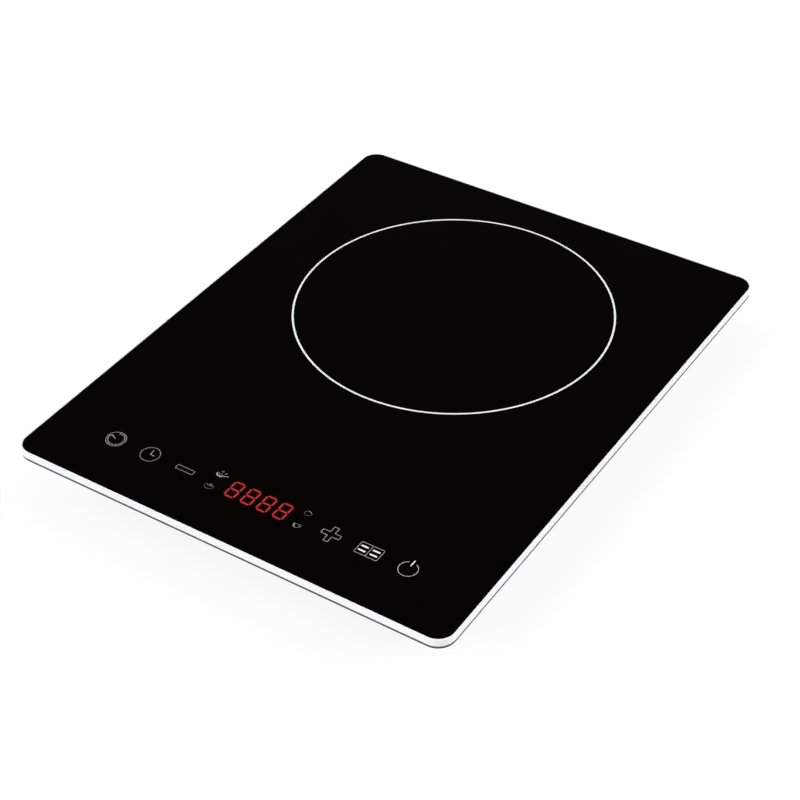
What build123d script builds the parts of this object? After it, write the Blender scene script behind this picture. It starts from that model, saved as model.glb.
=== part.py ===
from build123d import *
import math
import os

import numpy

# Portable induction cooktop. Millimetres, +Z up, front towards -Y.
# The origin is at the middle of the footprint, on the surface that the feet stand on.

# Glass plate
GLASS_W = 290.0
GLASS_D = 370.0
GLASS_T = 4.0
GLASS_R = 10.0
GLASS_BEVEL = 0.4

# Printed ring of the cooking zone, set flush in the glass
RING_R = 100.0
RING_LINE = 1.2
PRINT_T = 0.1
PRINT_FIT = 0.01
ZONE_FROM_BACK = 126.8

# Rim frame around the glass and the bead that holds the glass in it
LIP_W = 0.8
LIP_DROP = 0.2
LIP_ROUND = 0.3
GLASS_GAP = 0.1
LEDGE_W = 25.0
LEDGE_T = 0.65
BOND_T = 0.25
BOND_W = 8.0
BOND_INSET = 3.0
RIB_H = 4.0
RIB_T = 1.6
RIB_GAP = 0.4
BOSS_D = 8.0
BOSS_H = 10.0

# Lower housing
HOUSING_DEPTH = 36.5
FLANGE_T = 1.6
FLANGE_INSET = 0.1
TOP_INSET = 8.0
BOTTOM_INSET = 30.0
TOP_CORNER_R = 24.0
BOTTOM_CORNER_R = 18.0
BASE_ROUND = 3.0
WALL = 2.4
FLOOR_T = 2.4
POST_D = 11.0
POST_FLOOR = 3.0
WELL_D = 8.0
PLATE_RECESS_W = 56.0
PLATE_RECESS_D = 36.0
PLATE_RECESS_T = 0.5

# Air openings
GRILLE_R = 35.0
GRILLE_SLOT = 3.2
GRILLE_PITCH = 6.4
GRILLE_RIB = 4.0
VENT_SLOT = 3.0
VENT_PITCH = 7.0
REAR_VENTS = 16
SIDE_VENTS = 9
VENT_MARGIN = 6.5

# Feet
FOOT_D = 18.0
FOOT_H = 5.0
FOOT_SEAT = 1.0
FOOT_INSET = 20.0
FOOT_CHAMFER = 1.0

# Screws: one thread size and its pan head
SCREW_D = 3.0
HEAD_D = 5.6
HEAD_H = 2.0
SCREW_GRIP = 6.0
RECESS_W = 0.8
RECESS_L = 3.2
RECESS_DEPTH = 1.0
CASE_SCREW_INSET = 20.0
CASE_SCREW_END = 62.0

# Mains cord inlet
GLAND_SIDE_INSET = 58.0
GLAND_BORE_D = 7.4
GLAND_BODY_D = 12.0
GLAND_FLANGE_D = 18.0
GLAND_FLANGE_T = 2.5
GLAND_INSIDE = 6.0
GLAND_NUT_D = 17.0
GLAND_NUT_T = 3.0
GLAND_FIT = 0.1

# Induction coil
COIL_INNER_R = 24.0
COIL_TURNS = 18
WIRE_D = 3.2
TURN_GAP = 0.45
WIRE_BED = 0.1
FORMER_T = 2.0
FORMER_RIM = 1.8
FORMER_RIM_GAP = 0.6
FORMER_SPOKE = 14.0
FORMER_HUB_R = 29.0
LUG_R = 6.0
LUG_REACH = 6.0
LUG_ANGLE = 30.0
COIL_POST_D = 9.0
FERRITE_COUNT = 8
FERRITE_L = 50.0
FERRITE_W = 12.0
FERRITE_T = 4.5
FERRITE_INNER_R = 33.0
MICA_T = 0.5
MAT_T = 2.5
MAT_GAP = 0.3
MAT_HOLE_R = 14.0
CRIMP_D = 4.8
CRIMP_FIT = 0.3
CRIMP_DROP = 4.5

# Pan temperature sensor
SENSOR_D = 12.0
SENSOR_T = 3.5
HOLDER_D = 15.0
HOLDER_WALL = 1.4
HOLDER_FLANGE_D = 20.0
HOLDER_FLANGE_T = 1.2
HOLDER_DROP = 4.0
HOLDER_FIT = 0.1
SPRING_WIRE = 0.6
SPRING_PITCH = 1.7
SPRING_SIDE_GAP = 0.4
SENSOR_LEAD_D = 2.0

# Touch keys and control board
KEY_FROM_FRONT = 36.0
KEY_FIRST_X = 50.0
KEY_PITCH = 25.0
KEYS_PER_SIDE = 3
PILLAR_D = 11.0
PILLAR_H = 10.0
CONTROL_D = 30.0
CONTROL_END = 8.0
CONTROL_POST_D = 7.0
CONTROL_HOLE_INSET = 4.0
BOARD_T = 1.6
DISPLAY_W = 46.0
DISPLAY_D = 19.0
DISPLAY_GAP = 0.3
DISPLAY_X = 0.7
DISPLAY_Y = 1.0
DIGITS = 4
DIGIT_PITCH = 10.95
DIGIT_W = 8.0
DIGIT_H = 14.0
SEGMENT_W = 1.4
SEGMENT_T = 0.4
SEGMENT_GAP = 0.25
LAMP_D = 3.0
LAMP_H = 9.0
LAMP_X = 30.0
LAMP_SPREAD = 11.0
CHIP_W = 12.0
CHIP_D = 7.5
CHIP_T = 1.6

# Power board and what stands on it
POWER_W = 112.0
POWER_D = 92.0
SIDE_GAP = 3.0
FRONT_GAP = 2.0
STANDOFF_H = 5.0
STANDOFF_D = 7.0
POWER_HOLE_INSET = 5.0
SINK_W = 38.0
SINK_D = 72.0
SINK_BASE_T = 3.0
SINK_LEG_T = 3.0
SINK_FIN_T = 1.6
SINK_FIN_PITCH = 6.0
SINK_AIR_GAP = 1.5
SINK_LEFT = 4.0
SINK_BACK = 3.0
TRANSISTOR_W = 16.0
TRANSISTOR_D = 21.0
TRANSISTOR_T = 5.0
RECTIFIER_W = 30.0
RECTIFIER_D = 18.0
PAD_T = 0.3
PACKAGE_SPREAD = 32.0
BOX_CAP_W = 24.0
BOX_CAP_D = 14.0
BOX_CAP_H = 15.0
BOX_CAP_PITCH = 18.0
CAN_D = 9.0
CAN_H = 14.0
CAN_PITCH = 12.0
CHOKE_D = 18.0
CHOKE_BORE = 8.0
CHOKE_H = 9.0
CHOKE_TURNS = 10
CHOKE_WIRE = 1.2
CHOKE_BEND = 1.3
CHOKE_FIT = 0.15
TRANSFORMER_W = 18.0
TRANSFORMER_D = 16.0
TRANSFORMER_H = 13.0
FUSE_D = 5.2
FUSE_L = 20.0
FUSE_CLIP_T = 1.0
FUSE_CLIP_W = 5.0
FUSE_LIFT = 1.2
BUZZER_D = 12.0
BUZZER_H = 8.0
TERMINAL_D = 6.0
TERMINAL_H = 8.0
TERMINAL_PITCH = 12.0
TAB_W = 6.3
TAB_T = 0.8
TAB_H = 9.0
SOCKET_W = 9.0
SOCKET_D = 6.0
SOCKET_H = 7.0
RIBBON_W = 16.0
RIBBON_T = 1.0
RIBBON_SOCKET_D = 5.0
RIBBON_SOCKET_H = 5.0
RIBBON_BEND = 2.2
RIBBON_SLACK = 6.0

# Cooling fan, lying flat over the intake grille
FAN_W = 80.0
FAN_H = 15.0
FAN_LIFT = 2.0
FAN_HOLES = 71.5
FAN_HOLE_D = 4.3
FAN_BORE = 76.0
FAN_CORNER_R = 4.0
FAN_BOSS_D = 7.5
FAN_BASE_D = 34.0
FAN_BASE_T = 2.0
FAN_STRUT = 4.0
FAN_STRUTS = 4
TUBE_D = 8.0
TUBE_WALL = 1.5
TUBE_L = 8.6
SHAFT_D = 3.0
SHAFT_CLEAR = 0.05
STATOR_D = 26.0
STATOR_H = 6.5
STATOR_SLOT = 3.0
HUB_D = 37.0
HUB_WALL = 1.7
HUB_FLOOR = 1.6
HUB_LIFT = 1.0
HUB_TOP_GAP = 0.8
HUB_BOSS_D = 7.0
HUB_BOSS_H = 1.0
MAGNET_T = 2.5
MAGNET_H = 9.0
BLADES = 7
BLADE_CHORD_ROOT = 14.5
BLADE_CHORD_TIP = 18.0
BLADE_PITCH_ROOT = 40.0
BLADE_PITCH_TIP = 27.0
BLADE_T = 1.2
BLADE_TIP_GAP = 1.0
FAN_LEAD_D = 2.4

# Bends of the inner leads
LEAD_BEND = 5.0
THIN_LEAD_BEND = 4.0
BEND_ROOM = 0.95

# Radial clearances of seated and of pressed round pieces, room between pieces on a board
SNUG_FIT = 0.05
PRESS_FIT = 0.02
PART_GAP = 2.0

# Points per wire diameter where a wire's gap to itself is measured
GAP_STEPS = 4

# Small edge roundings
EDGE_SOFT = 0.6

# Heights, from the table up
z_base = FOOT_H
z_floor = z_base + FLOOR_T
z_flange_low = z_base + HOUSING_DEPTH
z_flange_top = z_flange_low + FLANGE_T
z_ledge_top = z_flange_top + LEDGE_T
z_glass_low = z_ledge_top + BOND_T
z_glass_top = z_glass_low + GLASS_T
z_lip_top = z_glass_top - LIP_DROP
z_post_top = z_flange_top - BOSS_H

# Coil stack, from the glass down
z_mat_top = z_glass_low - MAT_GAP
z_mica_top = z_mat_top - MAT_T
z_wire_top = z_mica_top - MICA_T
z_wire = z_wire_top - WIRE_BED - WIRE_D / 2
coil_room = WIRE_D + 2 * WIRE_BED
z_former_top = z_wire_top - coil_room
z_former_low = z_former_top - FORMER_T
z_ferrite_low = z_former_low - FERRITE_T

# Boards and fan
z_control_top = z_glass_low - PILLAR_H
z_control_low = z_control_top - BOARD_T
z_power_low = z_floor + STANDOFF_H
z_power_top = z_power_low + BOARD_T
z_fan = z_floor + FAN_LIFT

# Outlines
frame_w = GLASS_W + 2 * (GLASS_GAP + LIP_W)
frame_d = GLASS_D + 2 * (GLASS_GAP + LIP_W)
frame_r = GLASS_R + GLASS_GAP + LIP_W
taper = math.atan2(BOTTOM_INSET - TOP_INSET, HOUSING_DEPTH)
wall_across = WALL / math.cos(taper)

# Places
zone_y = GLASS_D / 2 - ZONE_FROM_BACK
key_y = KEY_FROM_FRONT - GLASS_D / 2
key_outer_x = KEY_FIRST_X + (KEYS_PER_SIDE - 1) * KEY_PITCH
key_points = [
    (side * (KEY_FIRST_X + step * KEY_PITCH), key_y)
    for side in (-1, 1)
    for step in range(KEYS_PER_SIDE)
]

UPWARD = (Align.CENTER, Align.CENTER, Align.MIN)
DOWNWARD = (Align.CENTER, Align.CENTER, Align.MAX)


def housing_inset(z):
    """Distance from the frame's outer edge to the housing's outer wall at a height."""
    rise = (z_flange_low - z) / HOUSING_DEPTH
    return TOP_INSET + rise * (BOTTOM_INSET - TOP_INSET)


def rounded_outline(z, width, depth, radius):
    """Rounded rectangle, centred on the footprint, at a height."""
    with BuildSketch(Plane.XY.offset(z)) as outline:
        RectangleRounded(width, depth, radius)
    return outline.sketch


def frame_outline(z, inset, radius):
    """Rounded rectangle set in from the frame's outer edge."""
    return rounded_outline(z, frame_w - 2 * inset, frame_d - 2 * inset, radius)


def housing_outline(z, wall):
    """Section of the tapered housing at a height, set in by a wall."""
    share = (z - z_base) / HOUSING_DEPTH
    radius = BOTTOM_CORNER_R + share * (TOP_CORNER_R - BOTTOM_CORNER_R) - wall
    return frame_outline(z, housing_inset(z) + wall, radius)


def inner_half(z, overall):
    """Half of the housing's clear width or depth at a height."""
    return overall / 2 - housing_inset(z) - wall_across


def screws(points, z_seat, shank_l, upward):
    """Group of pan head screws whose heads bear at one height.

    The shanks point up where upward is true, and down where it is not.
    """
    turn = 0 if upward else 180
    with BuildPart() as group:
        with Locations(*[Location((x, y, z_seat), (turn, 0, 0)) for x, y in points]):
            Cylinder(SCREW_D / 2, shank_l, align=UPWARD)
            Cylinder(HEAD_D / 2, HEAD_H, align=DOWNWARD)
        heads = group.faces().filter_by(GeomType.PLANE).group_by(Axis.Z)[0 if upward else -1]
        chamfer(heads.edges(), EDGE_SOFT)
        with Locations(*[Location((x, y, z_seat), (turn, 0, 0)) for x, y in points]):
            with Locations((0, 0, -HEAD_H)):
                Box(RECESS_L, RECESS_W, RECESS_DEPTH, align=UPWARD, mode=Mode.SUBTRACT)
                Box(RECESS_W, RECESS_L, RECESS_DEPTH, align=UPWARD, mode=Mode.SUBTRACT)
    return group


def lead(points, bend, diameter):
    """Round lead along straight runs joined by arcs, each arc limited by the runs beside it."""
    runs = [Vector(*after) - Vector(*before) for before, after in zip(points, points[1:])]
    room = [run.length / 2 for run in runs]
    room[0], room[-1] = runs[0].length, runs[-1].length
    limits = [
        BEND_ROOM * min(room[i], room[i + 1]) / math.tan(math.radians(runs[i].get_angle(runs[i + 1]) / 2))
        for i in range(len(runs) - 1)
    ]
    with BuildPart() as wire:
        with BuildLine() as route:
            FilletPolyline(*points, radius=min(bend, *limits))
        with BuildSketch(Plane(route.line @ 0, z_dir=route.line % 0)):
            Circle(diameter / 2)
        sweep(path=route.line)
    return wire


def least_gap(path, diameter):
    """Least clear distance of a wire to itself, measured on points along its path."""
    points = []
    for edge in path.order_edges():
        count = math.ceil(edge.length / (diameter / GAP_STEPS))
        points += [tuple(edge @ (step / count)) for step in range(count)]
    points = numpy.array(points)
    along = math.ceil(math.pi * GAP_STEPS)
    nearest = math.inf
    for index in range(len(points) - along):
        apart = numpy.linalg.norm(points[index + along:] - points[index], axis=1)
        nearest = min(nearest, apart.min())
    return nearest - diameter


def save(piece, name):
    """Label a finished piece and write its file."""
    piece.part.label = name
    export_step(piece.part, f"parts/{name}.step")


os.makedirs("parts", exist_ok=True)

# Glass plate with the groove that the printed ring fills
with BuildPart() as glass_panel:
    extrude(rounded_outline(z_glass_low, GLASS_W, GLASS_D, GLASS_R), amount=GLASS_T)
    faces = glass_panel.faces().sort_by(Axis.Z)
    chamfer(faces[0].edges() + faces[-1].edges(), GLASS_BEVEL)
    with BuildSketch(Plane((0, zone_y, z_glass_top))):
        Circle(RING_R + RING_LINE / 2)
        Circle(RING_R - RING_LINE / 2, mode=Mode.SUBTRACT)
    extrude(amount=-PRINT_T, mode=Mode.SUBTRACT)
save(glass_panel, "glass_panel")

with BuildPart() as zone_ring:
    with BuildSketch(Plane((0, zone_y, z_glass_top - PRINT_T))):
        Circle(RING_R + RING_LINE / 2 - PRINT_FIT)
        Circle(RING_R - RING_LINE / 2 + PRINT_FIT, mode=Mode.SUBTRACT)
    extrude(amount=PRINT_T)
save(zone_ring, "zone_ring")

# Rim frame: thin wall around the glass, ledge under it, locating rib and screw bosses
case_screw_x = frame_w / 2 - CASE_SCREW_INSET
case_screw_y = frame_d / 2 - CASE_SCREW_END
case_screw_points = [
    (side * case_screw_x, row * case_screw_y) for side in (-1, 1) for row in (-1, 0, 1)
]
boss_bore = SCREW_D + 2 * SNUG_FIT
z_rib = z_flange_top - RIB_H

with BuildPart() as rim_frame:
    extrude(frame_outline(z_flange_top, 0, frame_r), amount=z_lip_top - z_flange_top)
    fillet(rim_frame.faces().sort_by(Axis.Z)[-1].edges(), LIP_ROUND)
    pocket = rounded_outline(
        z_ledge_top, GLASS_W + 2 * GLASS_GAP, GLASS_D + 2 * GLASS_GAP, GLASS_R + GLASS_GAP
    )
    extrude(pocket, amount=z_glass_top - z_ledge_top, mode=Mode.SUBTRACT)
    extrude(housing_outline(z_rib, wall_across + RIB_GAP), amount=RIB_H)
    extrude(housing_outline(z_rib, wall_across + RIB_GAP + RIB_T), amount=RIB_H, mode=Mode.SUBTRACT)
    extrude(frame_outline(z_flange_top, LEDGE_W, frame_r), amount=LEDGE_T, mode=Mode.SUBTRACT)
    with Locations(*[(x, y, z_flange_top) for x, y in case_screw_points]):
        Cylinder(BOSS_D / 2, BOSS_H, align=DOWNWARD)
    with Locations(*[(x, y, z_post_top) for x, y in case_screw_points]):
        Cylinder(boss_bore / 2, SCREW_GRIP + EDGE_SOFT, align=UPWARD, mode=Mode.SUBTRACT)
save(rim_frame, "rim_frame")

bond_edge = GLASS_GAP + LIP_W + BOND_INSET
with BuildPart() as glass_bond:
    extrude(frame_outline(z_ledge_top, bond_edge, GLASS_R), amount=BOND_T)
    extrude(
        frame_outline(z_ledge_top, bond_edge + BOND_W, GLASS_R), amount=BOND_T, mode=Mode.SUBTRACT
    )
save(glass_bond, "glass_bond")

# Lower housing: places of everything that its floor and walls carry
floor_half_w = inner_half(z_floor, frame_w)
board_front = key_y + CONTROL_D / 2 + FRONT_GAP
fan_x = FAN_W / 2 + SIDE_GAP - floor_half_w
fan_y = board_front + FAN_W / 2
power_x = floor_half_w - SIDE_GAP - POWER_W / 2
power_y = board_front + POWER_D / 2

coil_pitch = WIRE_D + TURN_GAP
coil_end_r = COIL_INNER_R + COIL_TURNS * coil_pitch
former_bore_r = coil_end_r + WIRE_D / 2 + FORMER_RIM_GAP
former_r = former_bore_r + FORMER_RIM
lug_place_r = former_r + LUG_REACH
lug_angles = (LUG_ANGLE, 180 - LUG_ANGLE, 180 + LUG_ANGLE, 360 - LUG_ANGLE)
lug_points = [
    (
        lug_place_r * math.cos(math.radians(angle)),
        zone_y + lug_place_r * math.sin(math.radians(angle)),
    )
    for angle in lug_angles
]
control_hole_x = key_outer_x + CONTROL_HOLE_INSET
control_hole_y = CONTROL_D / 2 - CONTROL_HOLE_INSET
control_hole_points = [
    (side * control_hole_x, key_y + row * control_hole_y) for side in (-1, 1) for row in (-1, 1)
]
power_hole_points = [
    (
        power_x + side * (POWER_W / 2 - POWER_HOLE_INSET),
        power_y + row * (POWER_D / 2 - POWER_HOLE_INSET),
    )
    for side in (-1, 1)
    for row in (-1, 1)
]
fan_hole_points = [
    (fan_x + side * FAN_HOLES / 2, fan_y + row * FAN_HOLES / 2) for side in (-1, 1) for row in (-1, 1)
]
foot_x = frame_w / 2 - BOTTOM_INSET - FOOT_INSET
foot_y = frame_d / 2 - BOTTOM_INSET - FOOT_INSET
foot_points = [(side * foot_x, row * foot_y) for side in (-1, 1) for row in (-1, 1)]

gland_x = frame_w / 2 - GLAND_SIDE_INSET
gland_z = (z_floor + z_flange_low) / 2
gland_y = frame_d / 2 - housing_inset(gland_z)
gland_plane = Plane(
    (gland_x, gland_y, gland_z), x_dir=(1, 0, 0), z_dir=(0, math.cos(taper), -math.sin(taper))
)
vent_low = z_floor + VENT_MARGIN
vent_h = z_flange_low - VENT_MARGIN - vent_low
vent_reach = BOTTOM_INSET + wall_across
grille_rows = int((GRILLE_R - GRILLE_SLOT) / GRILLE_PITCH)

with BuildPart() as housing_form:
    loft([housing_outline(z_base, 0), housing_outline(z_flange_low, 0)], ruled=True)
    fillet(housing_form.faces().sort_by(Axis.Z)[0].edges(), BASE_ROUND)

with BuildPart() as housing_posts:
    with Locations(*[(x, y, z_post_top) for x, y in case_screw_points]):
        Cylinder(POST_D / 2, z_post_top - z_base, align=DOWNWARD)
    with Locations(*[(x, y, z_control_low) for x, y in control_hole_points]):
        Cylinder(CONTROL_POST_D / 2, z_control_low - z_base, align=DOWNWARD)
    with Locations(*[(x, y, z_former_low) for x, y in lug_points]):
        Cylinder(COIL_POST_D / 2, z_former_low - z_base, align=DOWNWARD)
    with Locations(*[(x, y, z_power_low) for x, y in power_hole_points]):
        Cylinder(STANDOFF_D / 2, z_power_low - z_base, align=DOWNWARD)
    with Locations(*[(x, y, z_fan) for x, y in fan_hole_points]):
        Cylinder(FAN_BOSS_D / 2, z_fan - z_base, align=DOWNWARD)
    add(housing_form.part, mode=Mode.INTERSECT)

with BuildPart() as lower_housing:
    add(housing_form.part)
    extrude(frame_outline(z_flange_low, FLANGE_INSET, frame_r - FLANGE_INSET), amount=FLANGE_T)
    loft(
        [housing_outline(z_floor, wall_across), housing_outline(z_flange_top, wall_across)],
        ruled=True,
        mode=Mode.SUBTRACT,
    )
    add(housing_posts.part)
    # Screw wells from below and the thread holes in the posts
    with Locations(*[(x, y, 0) for x, y in case_screw_points]):
        Cylinder(WELL_D / 2, z_post_top - POST_FLOOR, align=UPWARD, mode=Mode.SUBTRACT)
        Cylinder(boss_bore / 2, z_post_top, align=UPWARD, mode=Mode.SUBTRACT)
    thread_tops = (
        [(x, y, z_control_low) for x, y in control_hole_points]
        + [(x, y, z_former_low) for x, y in lug_points]
        + [(x, y, z_power_low) for x, y in power_hole_points]
    )
    with Locations(*thread_tops):
        Cylinder(boss_bore / 2, SCREW_GRIP, align=DOWNWARD, mode=Mode.SUBTRACT)
    with Locations(*[(x, y, z_fan) for x, y in fan_hole_points]):
        Cylinder(boss_bore / 2, FAN_LIFT + FLOOR_T / 2, align=DOWNWARD, mode=Mode.SUBTRACT)
    # Seats for the feet and a shallow panel for a plain plate
    with Locations(*[(x, y, z_base) for x, y in foot_points]):
        Cylinder(FOOT_D / 2, FOOT_SEAT, align=UPWARD, mode=Mode.SUBTRACT)
    with Locations((0, zone_y, z_base)):
        Box(PLATE_RECESS_W, PLATE_RECESS_D, PLATE_RECESS_T, align=UPWARD, mode=Mode.SUBTRACT)
    # Intake slots under the fan, halved by a rib
    with BuildSketch(Plane((fan_x, fan_y, z_base))):
        for row in range(-grille_rows, grille_rows + 1):
            offset_y = row * GRILLE_PITCH
            half_slot = math.sqrt(GRILLE_R**2 - offset_y**2) - GRILLE_RIB / 2
            for side in (-1, 1):
                with Locations((side * (GRILLE_RIB + half_slot) / 2, offset_y)):
                    SlotOverall(half_slot, GRILLE_SLOT)
    extrude(amount=FLOOR_T, mode=Mode.SUBTRACT)
    # Outlet slots in the rear wall and both side walls
    with Locations((0, frame_d / 2 - vent_reach / 2, vent_low)):
        with GridLocations(VENT_PITCH, 0, REAR_VENTS, 1):
            Box(VENT_SLOT, vent_reach, vent_h, align=UPWARD, mode=Mode.SUBTRACT)
    for side in (-1, 1):
        with Locations((side * (frame_w / 2 - vent_reach / 2), power_y, vent_low)):
            with GridLocations(0, VENT_PITCH, 1, SIDE_VENTS):
                Box(vent_reach, VENT_SLOT, vent_h, align=UPWARD, mode=Mode.SUBTRACT)
    # Hole for the cord inlet, square to the sloping wall
    with Locations(gland_plane):
        Cylinder(GLAND_BODY_D / 2 + GLAND_FIT, 4 * WALL, mode=Mode.SUBTRACT)
save(lower_housing, "lower_housing")

with BuildPart() as rubber_feet:
    with Locations(*[(x, y, 0) for x, y in foot_points]):
        Cylinder(FOOT_D / 2 - SNUG_FIT, FOOT_H + FOOT_SEAT, align=UPWARD)
    chamfer(rubber_feet.edges().group_by(Axis.Z)[0], FOOT_CHAMFER)
save(rubber_feet, "rubber_feet")

housing_screws = screws(case_screw_points, z_post_top - POST_FLOOR, POST_FLOOR + SCREW_GRIP, True)
save(housing_screws, "housing_screws")

with BuildPart(gland_plane) as cord_gland:
    Cylinder(GLAND_FLANGE_D / 2, GLAND_FLANGE_T, align=UPWARD)
    fillet(cord_gland.faces().filter_by(GeomType.PLANE).sort_by(Axis.Y)[-1].edges(), EDGE_SOFT)
    Cylinder(GLAND_BODY_D / 2, WALL + GLAND_INSIDE, align=DOWNWARD)
    with Locations((0, 0, GLAND_FLANGE_T)):
        Cylinder(
            GLAND_BORE_D / 2,
            GLAND_FLANGE_T + WALL + GLAND_INSIDE,
            align=DOWNWARD,
            mode=Mode.SUBTRACT,
        )
save(cord_gland, "cord_gland")

with BuildPart(gland_plane.offset(-WALL)) as gland_nut:
    with BuildSketch(gland_plane.offset(-WALL)):
        RegularPolygon(GLAND_NUT_D / 2, 6)
        Circle(GLAND_BODY_D / 2 + GLAND_FIT, mode=Mode.SUBTRACT)
    extrude(amount=-GLAND_NUT_T)
save(gland_nut, "gland_nut")

# Induction coil: former, winding, ferrites, insulation
crimp_x = CRIMP_D / 2
crimp_y = zone_y - COIL_INNER_R
window_r = former_bore_r - FORMER_SPOKE / 2
with BuildPart(Plane((0, zone_y, z_former_low))) as coil_former:
    Cylinder(former_r, FORMER_T + coil_room, align=UPWARD)
    with Locations((0, 0, FORMER_T)):
        Cylinder(former_bore_r, coil_room, align=UPWARD, mode=Mode.SUBTRACT)
    with BuildSketch(Plane((0, zone_y, z_former_low))):
        for angle in lug_angles:
            with Locations(Location((0, 0, 0), angle)):
                with Locations(((former_r + lug_place_r) / 2 - LUG_REACH / 2, 0)):
                    Rectangle(LUG_REACH * 2, 2 * LUG_R)
                with Locations((lug_place_r, 0)):
                    Circle(LUG_R)
        Circle(former_bore_r, mode=Mode.SUBTRACT)
    extrude(amount=FORMER_T)
    with BuildSketch(Plane((0, zone_y, z_former_low))):
        Circle(window_r)
        Circle(FORMER_HUB_R, mode=Mode.SUBTRACT)
        with Locations(Location((0, 0, 0), 180 / FERRITE_COUNT)):
            with PolarLocations(0, FERRITE_COUNT):
                Rectangle(2 * former_r, FORMER_SPOKE, mode=Mode.SUBTRACT)
    extrude(amount=FORMER_T, mode=Mode.SUBTRACT)
    with BuildSketch(Plane((0, zone_y, z_former_low))):
        Circle(HOLDER_D / 2 + HOLDER_FIT)
        with Locations((crimp_x, -COIL_INNER_R)):
            Circle(CRIMP_D / 2 + CRIMP_FIT)
        for angle in lug_angles:
            with PolarLocations(lug_place_r, 1, angle):
                Circle(boss_bore / 2)
    extrude(amount=FORMER_T, mode=Mode.SUBTRACT)
    # Gap in the rim where the outer end of the winding leaves
    exit_x = math.sqrt(former_r**2 - coil_end_r**2)
    with Locations((exit_x, -coil_end_r, FORMER_T)):
        Box(2 * exit_x, WIRE_D + 2 * FORMER_RIM_GAP, coil_room, align=UPWARD, mode=Mode.SUBTRACT)
save(coil_former, "coil_former")

with BuildPart() as coil_winding:
    with BuildLine(Plane((0, zone_y, z_wire))) as spiral:
        for half in range(2 * COIL_TURNS):
            facing = 1 if half % 2 == 0 else -1
            radius = COIL_INNER_R + half * coil_pitch / 2 + coil_pitch / 4
            CenterArc((0, facing * coil_pitch / 4), radius, -90 * facing, 180)
    with BuildSketch(Plane((0, zone_y - COIL_INNER_R, z_wire), z_dir=(1, 0, 0))):
        Circle(WIRE_D / 2)
    sweep(path=spiral.line)
save(coil_winding, "coil_winding")
print("coil winding, least gap", round(least_gap(spiral.wire(), WIRE_D), 3))

with BuildPart() as ferrite_bars:
    with BuildSketch(Plane((0, zone_y, z_former_low))):
        with Locations(Location((0, 0, 0), 180 / FERRITE_COUNT)):
            with PolarLocations(FERRITE_INNER_R + FERRITE_L / 2, FERRITE_COUNT):
                Rectangle(FERRITE_L, FERRITE_W)
    extrude(amount=-FERRITE_T)
save(ferrite_bars, "ferrite_bars")

with BuildPart() as mica_sheet:
    with BuildSketch(Plane((0, zone_y, z_wire_top))):
        Circle(former_r)
        Circle(MAT_HOLE_R, mode=Mode.SUBTRACT)
    extrude(amount=MICA_T)
save(mica_sheet, "mica_sheet")

with BuildPart() as insulation_mat:
    with BuildSketch(Plane((0, zone_y, z_mica_top))):
        Circle(former_r)
        Circle(MAT_HOLE_R, mode=Mode.SUBTRACT)
    extrude(amount=MAT_T)
save(insulation_mat, "insulation_mat")

coil_screws = screws(lug_points, z_former_top, FORMER_T + SCREW_GRIP, False)
save(coil_screws, "coil_screws")

with BuildPart() as coil_crimp:
    with Locations((crimp_x, crimp_y, z_former_top)):
        Cylinder(CRIMP_D / 2, FORMER_T + CRIMP_DROP, align=DOWNWARD)
save(coil_crimp, "coil_crimp")

# Pan sensor, pressed up against the glass by its spring
z_holder_low = z_former_low - HOLDER_DROP
z_sensor_low = z_glass_low - SENSOR_T
holder_bore_r = HOLDER_D / 2 - HOLDER_WALL
with BuildPart(Plane((0, zone_y, z_holder_low))) as sensor_holder:
    Cylinder(HOLDER_D / 2, HOLDER_DROP + FORMER_T + HOLDER_FLANGE_T, align=UPWARD)
    with Locations((0, 0, HOLDER_DROP + FORMER_T)):
        Cylinder(HOLDER_FLANGE_D / 2, HOLDER_FLANGE_T, align=UPWARD)
    with Locations((0, 0, HOLDER_WALL)):
        Cylinder(
            holder_bore_r,
            HOLDER_DROP + FORMER_T + HOLDER_FLANGE_T,
            align=UPWARD,
            mode=Mode.SUBTRACT,
        )
save(sensor_holder, "sensor_holder")

spring_r = min(holder_bore_r, SENSOR_D / 2) - SPRING_SIDE_GAP - SPRING_WIRE / 2
z_spring = z_holder_low + HOLDER_WALL + SPRING_WIRE / 2
spring_h = z_sensor_low - SPRING_WIRE / 2 - z_spring
with BuildPart() as sensor_spring:
    with BuildLine() as coils:
        Helix(SPRING_PITCH, spring_h, spring_r, center=(0, zone_y, z_spring))
    with BuildSketch(Plane(coils.line @ 0, z_dir=coils.line % 0)):
        Circle(SPRING_WIRE / 2)
    sweep(path=coils.line, is_frenet=True)
save(sensor_spring, "sensor_spring")
print("sensor spring, least gap", round(least_gap(coils.wire(), SPRING_WIRE), 3))

with BuildPart() as pan_sensor:
    with Locations((0, zone_y, z_glass_low)):
        Cylinder(SENSOR_D / 2, SENSOR_T, align=DOWNWARD)
    fillet(pan_sensor.faces().sort_by(Axis.Z)[-1].edges(), EDGE_SOFT)
save(pan_sensor, "pan_sensor")

# Control board with display, touch pillars and lamps
with BuildPart() as control_board:
    with Locations((0, key_y, z_control_low)):
        Box(2 * (key_outer_x + CONTROL_END), CONTROL_D, BOARD_T, align=UPWARD)
    fillet(control_board.edges().filter_by(Axis.Z), EDGE_SOFT)
    with Locations(*[(x, y, z_control_low) for x, y in control_hole_points]):
        Cylinder(boss_bore / 2, BOARD_T, align=UPWARD, mode=Mode.SUBTRACT)
save(control_board, "control_board")

control_screws = screws(control_hole_points, z_control_top, BOARD_T + SCREW_GRIP, False)
save(control_screws, "control_screws")

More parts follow.
